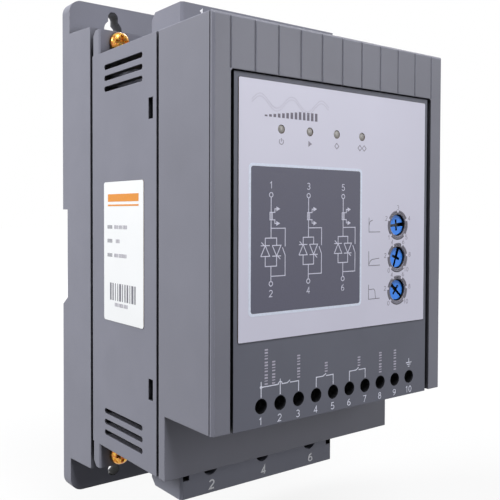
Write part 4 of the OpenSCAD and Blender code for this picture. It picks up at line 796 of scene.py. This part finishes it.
# numbers on the power terminal blocks: the first number of each row, its shift and its height
blockMarks = {"number": 3.0, "weight": 0.2, "poles": (-24, 0, 24), "line": (1, -4.2, 84.1),
              "load": (2, 0.6, -84.3)}
for side in ("line", "load"):
    first, shift, height = blockMarks[side]
    marks = [(str(first + 2 * i), x + shift, height) for i, x in enumerate(blockMarks["poles"])]
    blockFront = onFront(-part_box(side + "_terminal_block")[0].y)
    numbers(side + "BlockNumbers", marks, blockMarks["number"], blockFront, inks["block"],
            weight=blockMarks["weight"])

# print on the side sticker: two rules, rows of small strokes and a run of bars
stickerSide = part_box("rating_sticker")[0].x
sideTurn = Matrix(((0, 0, -1, stickerSide - printMiddle), (-1, 0, 0, 0), (0, 1, 0, 0), (0, 0, 0, 1)))
stickerPrint = {"left": 41.2, "right": 64.2, "rules": ((17.9, 20.6), (16.3, 16.9)), "rows": (8.2, 3.2, -1.9),
                "word": 5.2, "groups": ((0, 3.4, 6.8), (1.2,), (0, 3.4, 6.4)), "foot": (46.8, 50.2, 53.6),
                "footRow": -19.5}
stickerStrokes = {"pitch": 0.78, "widths": (0.2, 0.55), "heights": (1.3, 0, 1.3)}
stickerHeads = {**stickerStrokes, "count": 5, "seed": 3}
stickerRows = {**stickerStrokes, "count": 4, "seed": 5}
stickerBars = {"start": (43.4, -17.4), "count": 11, "pitch": 1.82, "widths": (0.5, 1.5), "heights": (6.2, 0, 6.2),
               "seed": 7}
left, right = stickerPrint["left"], stickerPrint["right"]
rules = [[(left, low), (right, low), (right, high), (left, high)] for low, high in stickerPrint["rules"]]
plates("stickerRules", rules, onLeft(stickerSide), inks["orange"])
headStarts = [(left, v) for v in stickerPrint["rows"]]
wordStarts = [(left + stickerPrint["word"] + shift, v)
              for v, shifts in zip(stickerPrint["rows"], stickerPrint["groups"]) for shift in shifts]
wordStarts += [(u, stickerPrint["footRow"]) for u in stickerPrint["foot"]]
barRows("stickerHeads", headStarts, stickerHeads, inks["text"], sideTurn)
barRows("stickerRows", wordStarts, stickerRows, inks["pale"], sideTurn)
barRows("stickerBars", [stickerBars["start"]], stickerBars, inks["text"], sideTurn)
print("panel, blocks and sticker printed")

# camera at the photograph's place
camera = {"place": (-169.04, -279.3, 13.8), "turn": 37.338, "dip": 1.42, "roll": 0.194, "lens": 51.65,
          "sensor": 36, "shift": -0.0372, "clip": (0.01, 50)}
turn, dip, roll = (math.radians(camera[k]) for k in ("turn", "dip", "roll"))
ahead = Vector((math.sin(turn) * math.cos(dip), math.cos(turn) * math.cos(dip), -math.sin(dip)))
across = Vector((math.cos(turn), -math.sin(turn), 0))
upward = across.cross(ahead)
rightward = across * math.cos(roll) + upward * math.sin(roll)
upward = upward * math.cos(roll) - across * math.sin(roll)
cameraData = bpy.data.cameras.new("photoCamera")
cameraData.lens, cameraData.sensor_width, cameraData.shift_y = camera["lens"], camera["sensor"], camera["shift"]
cameraData.clip_start, cameraData.clip_end = camera["clip"]
cameraObject = bpy.data.objects.new("photoCamera", cameraData)
cameraObject.matrix_world = Matrix((rightward, upward, -ahead)).transposed().to_4x4()
cameraObject.location = Vector(camera["place"]) * mm
scene.collection.objects.link(cameraObject)
scene.camera = cameraObject

# studio: pale floor that fades into white, soft lamps given by place, size and power
studio = {"floor": -0.125, "floorSize": 12.0, "floorColor": (0.11, 0.11, 0.111, 1), "floorRoughness": 0.9,
          "glow": (0.82, 1.0), "fade": (0.2, 1.1), "sky": (0.97, 0.98, 1.0, 1), "skyStrength": 0.1,
          "white": (1, 1, 1, 1), "aim": (0, -0.05, 0),
          "lamps": (("left", (-0.8, 0.24, 0.55), 0.4, 11.0), ("key", (-0.14, -0.5, 0.74), 0.3, 6.2),
                    ("fill", (0.66, -1.1, 0.3), 0.5, 3.8), ("rear", (0.9, 0.8, 0.5), 0.8, 19.0))}


def backgroundRays(tree):
    path = addNode(tree, "ShaderNodeLightPath")
    seen = path.outputs["Is Camera Ray"]
    for label in ("Is Glossy Ray", "Is Transmission Ray"):
        seen = calc(tree, "MAXIMUM", seen, path.outputs[label])
    return seen


def paleFloor():
    half, level = studio["floorSize"] / 2, studio["floor"]
    mesh = bpy.data.meshes.new("studioFloor")
    mesh.from_pydata([(-half, -half, level), (half, -half, level), (half, half, level), (-half, half, level)],
                     [], [(0, 1, 2, 3)])
    material, tree, shader = emptyMaterial("studioPaper")
    shader.inputs["Base Color"].default_value = studio["floorColor"]
    shader.inputs["Roughness"].default_value = studio["floorRoughness"]
    shader.inputs["Specular IOR Level"].default_value = 0.0
    reach = addNode(tree, "ShaderNodeVectorMath", {0: objectCoordinates(tree)}, operation="LENGTH")
    fade = mapped(tree, reach.outputs["Value"], *studio["glow"], *studio["fade"])
    strength = calc(tree, "MULTIPLY", backgroundRays(tree), fade)
    glow = addNode(tree, "ShaderNodeEmission", {"Color": studio["white"], "Strength": strength})
    both = addNode(tree, "ShaderNodeAddShader", {0: shader.outputs[0], 1: glow.outputs[0]})
    tree.links.new(both.outputs[0], tree.nodes["Material Output"].inputs["Surface"])
    mesh.materials.append(material)
    floor = bpy.data.objects.new("studioFloor", mesh)
    scene.collection.objects.link(floor)


def whiteWorld():
    world = bpy.data.worlds.new("studioWorld")
    world.use_nodes = True
    scene.world = world
    tree = world.node_tree
    sky = tree.nodes["Background"]
    sky.inputs["Color"].default_value = studio["sky"]
    sky.inputs["Strength"].default_value = studio["skyStrength"]
    seen = addNode(tree, "ShaderNodeBackground", {"Color": studio["white"], "Strength": 1.0})
    mix = addNode(tree, "ShaderNodeMixShader", {0: backgroundRays(tree), 1: sky.outputs[0], 2: seen.outputs[0]})
    tree.links.new(mix.outputs[0], tree.nodes["World Output"].inputs["Surface"])


def softLamps():
    for name, spot, size, power in studio["lamps"]:
        data = bpy.data.lights.new(name + "Lamp", "AREA")
        data.shape, data.size, data.energy = "SQUARE", size, power
        lamp = bpy.data.objects.new(name + "Lamp", data)
        lamp.location = spot
        aim = Vector(studio["aim"]) - Vector(spot)
        lamp.rotation_euler = aim.to_track_quat("-Z", "Y").to_euler()
        scene.collection.objects.link(lamp)


paleFloor()
whiteWorld()
softLamps()
print("camera and studio ready")
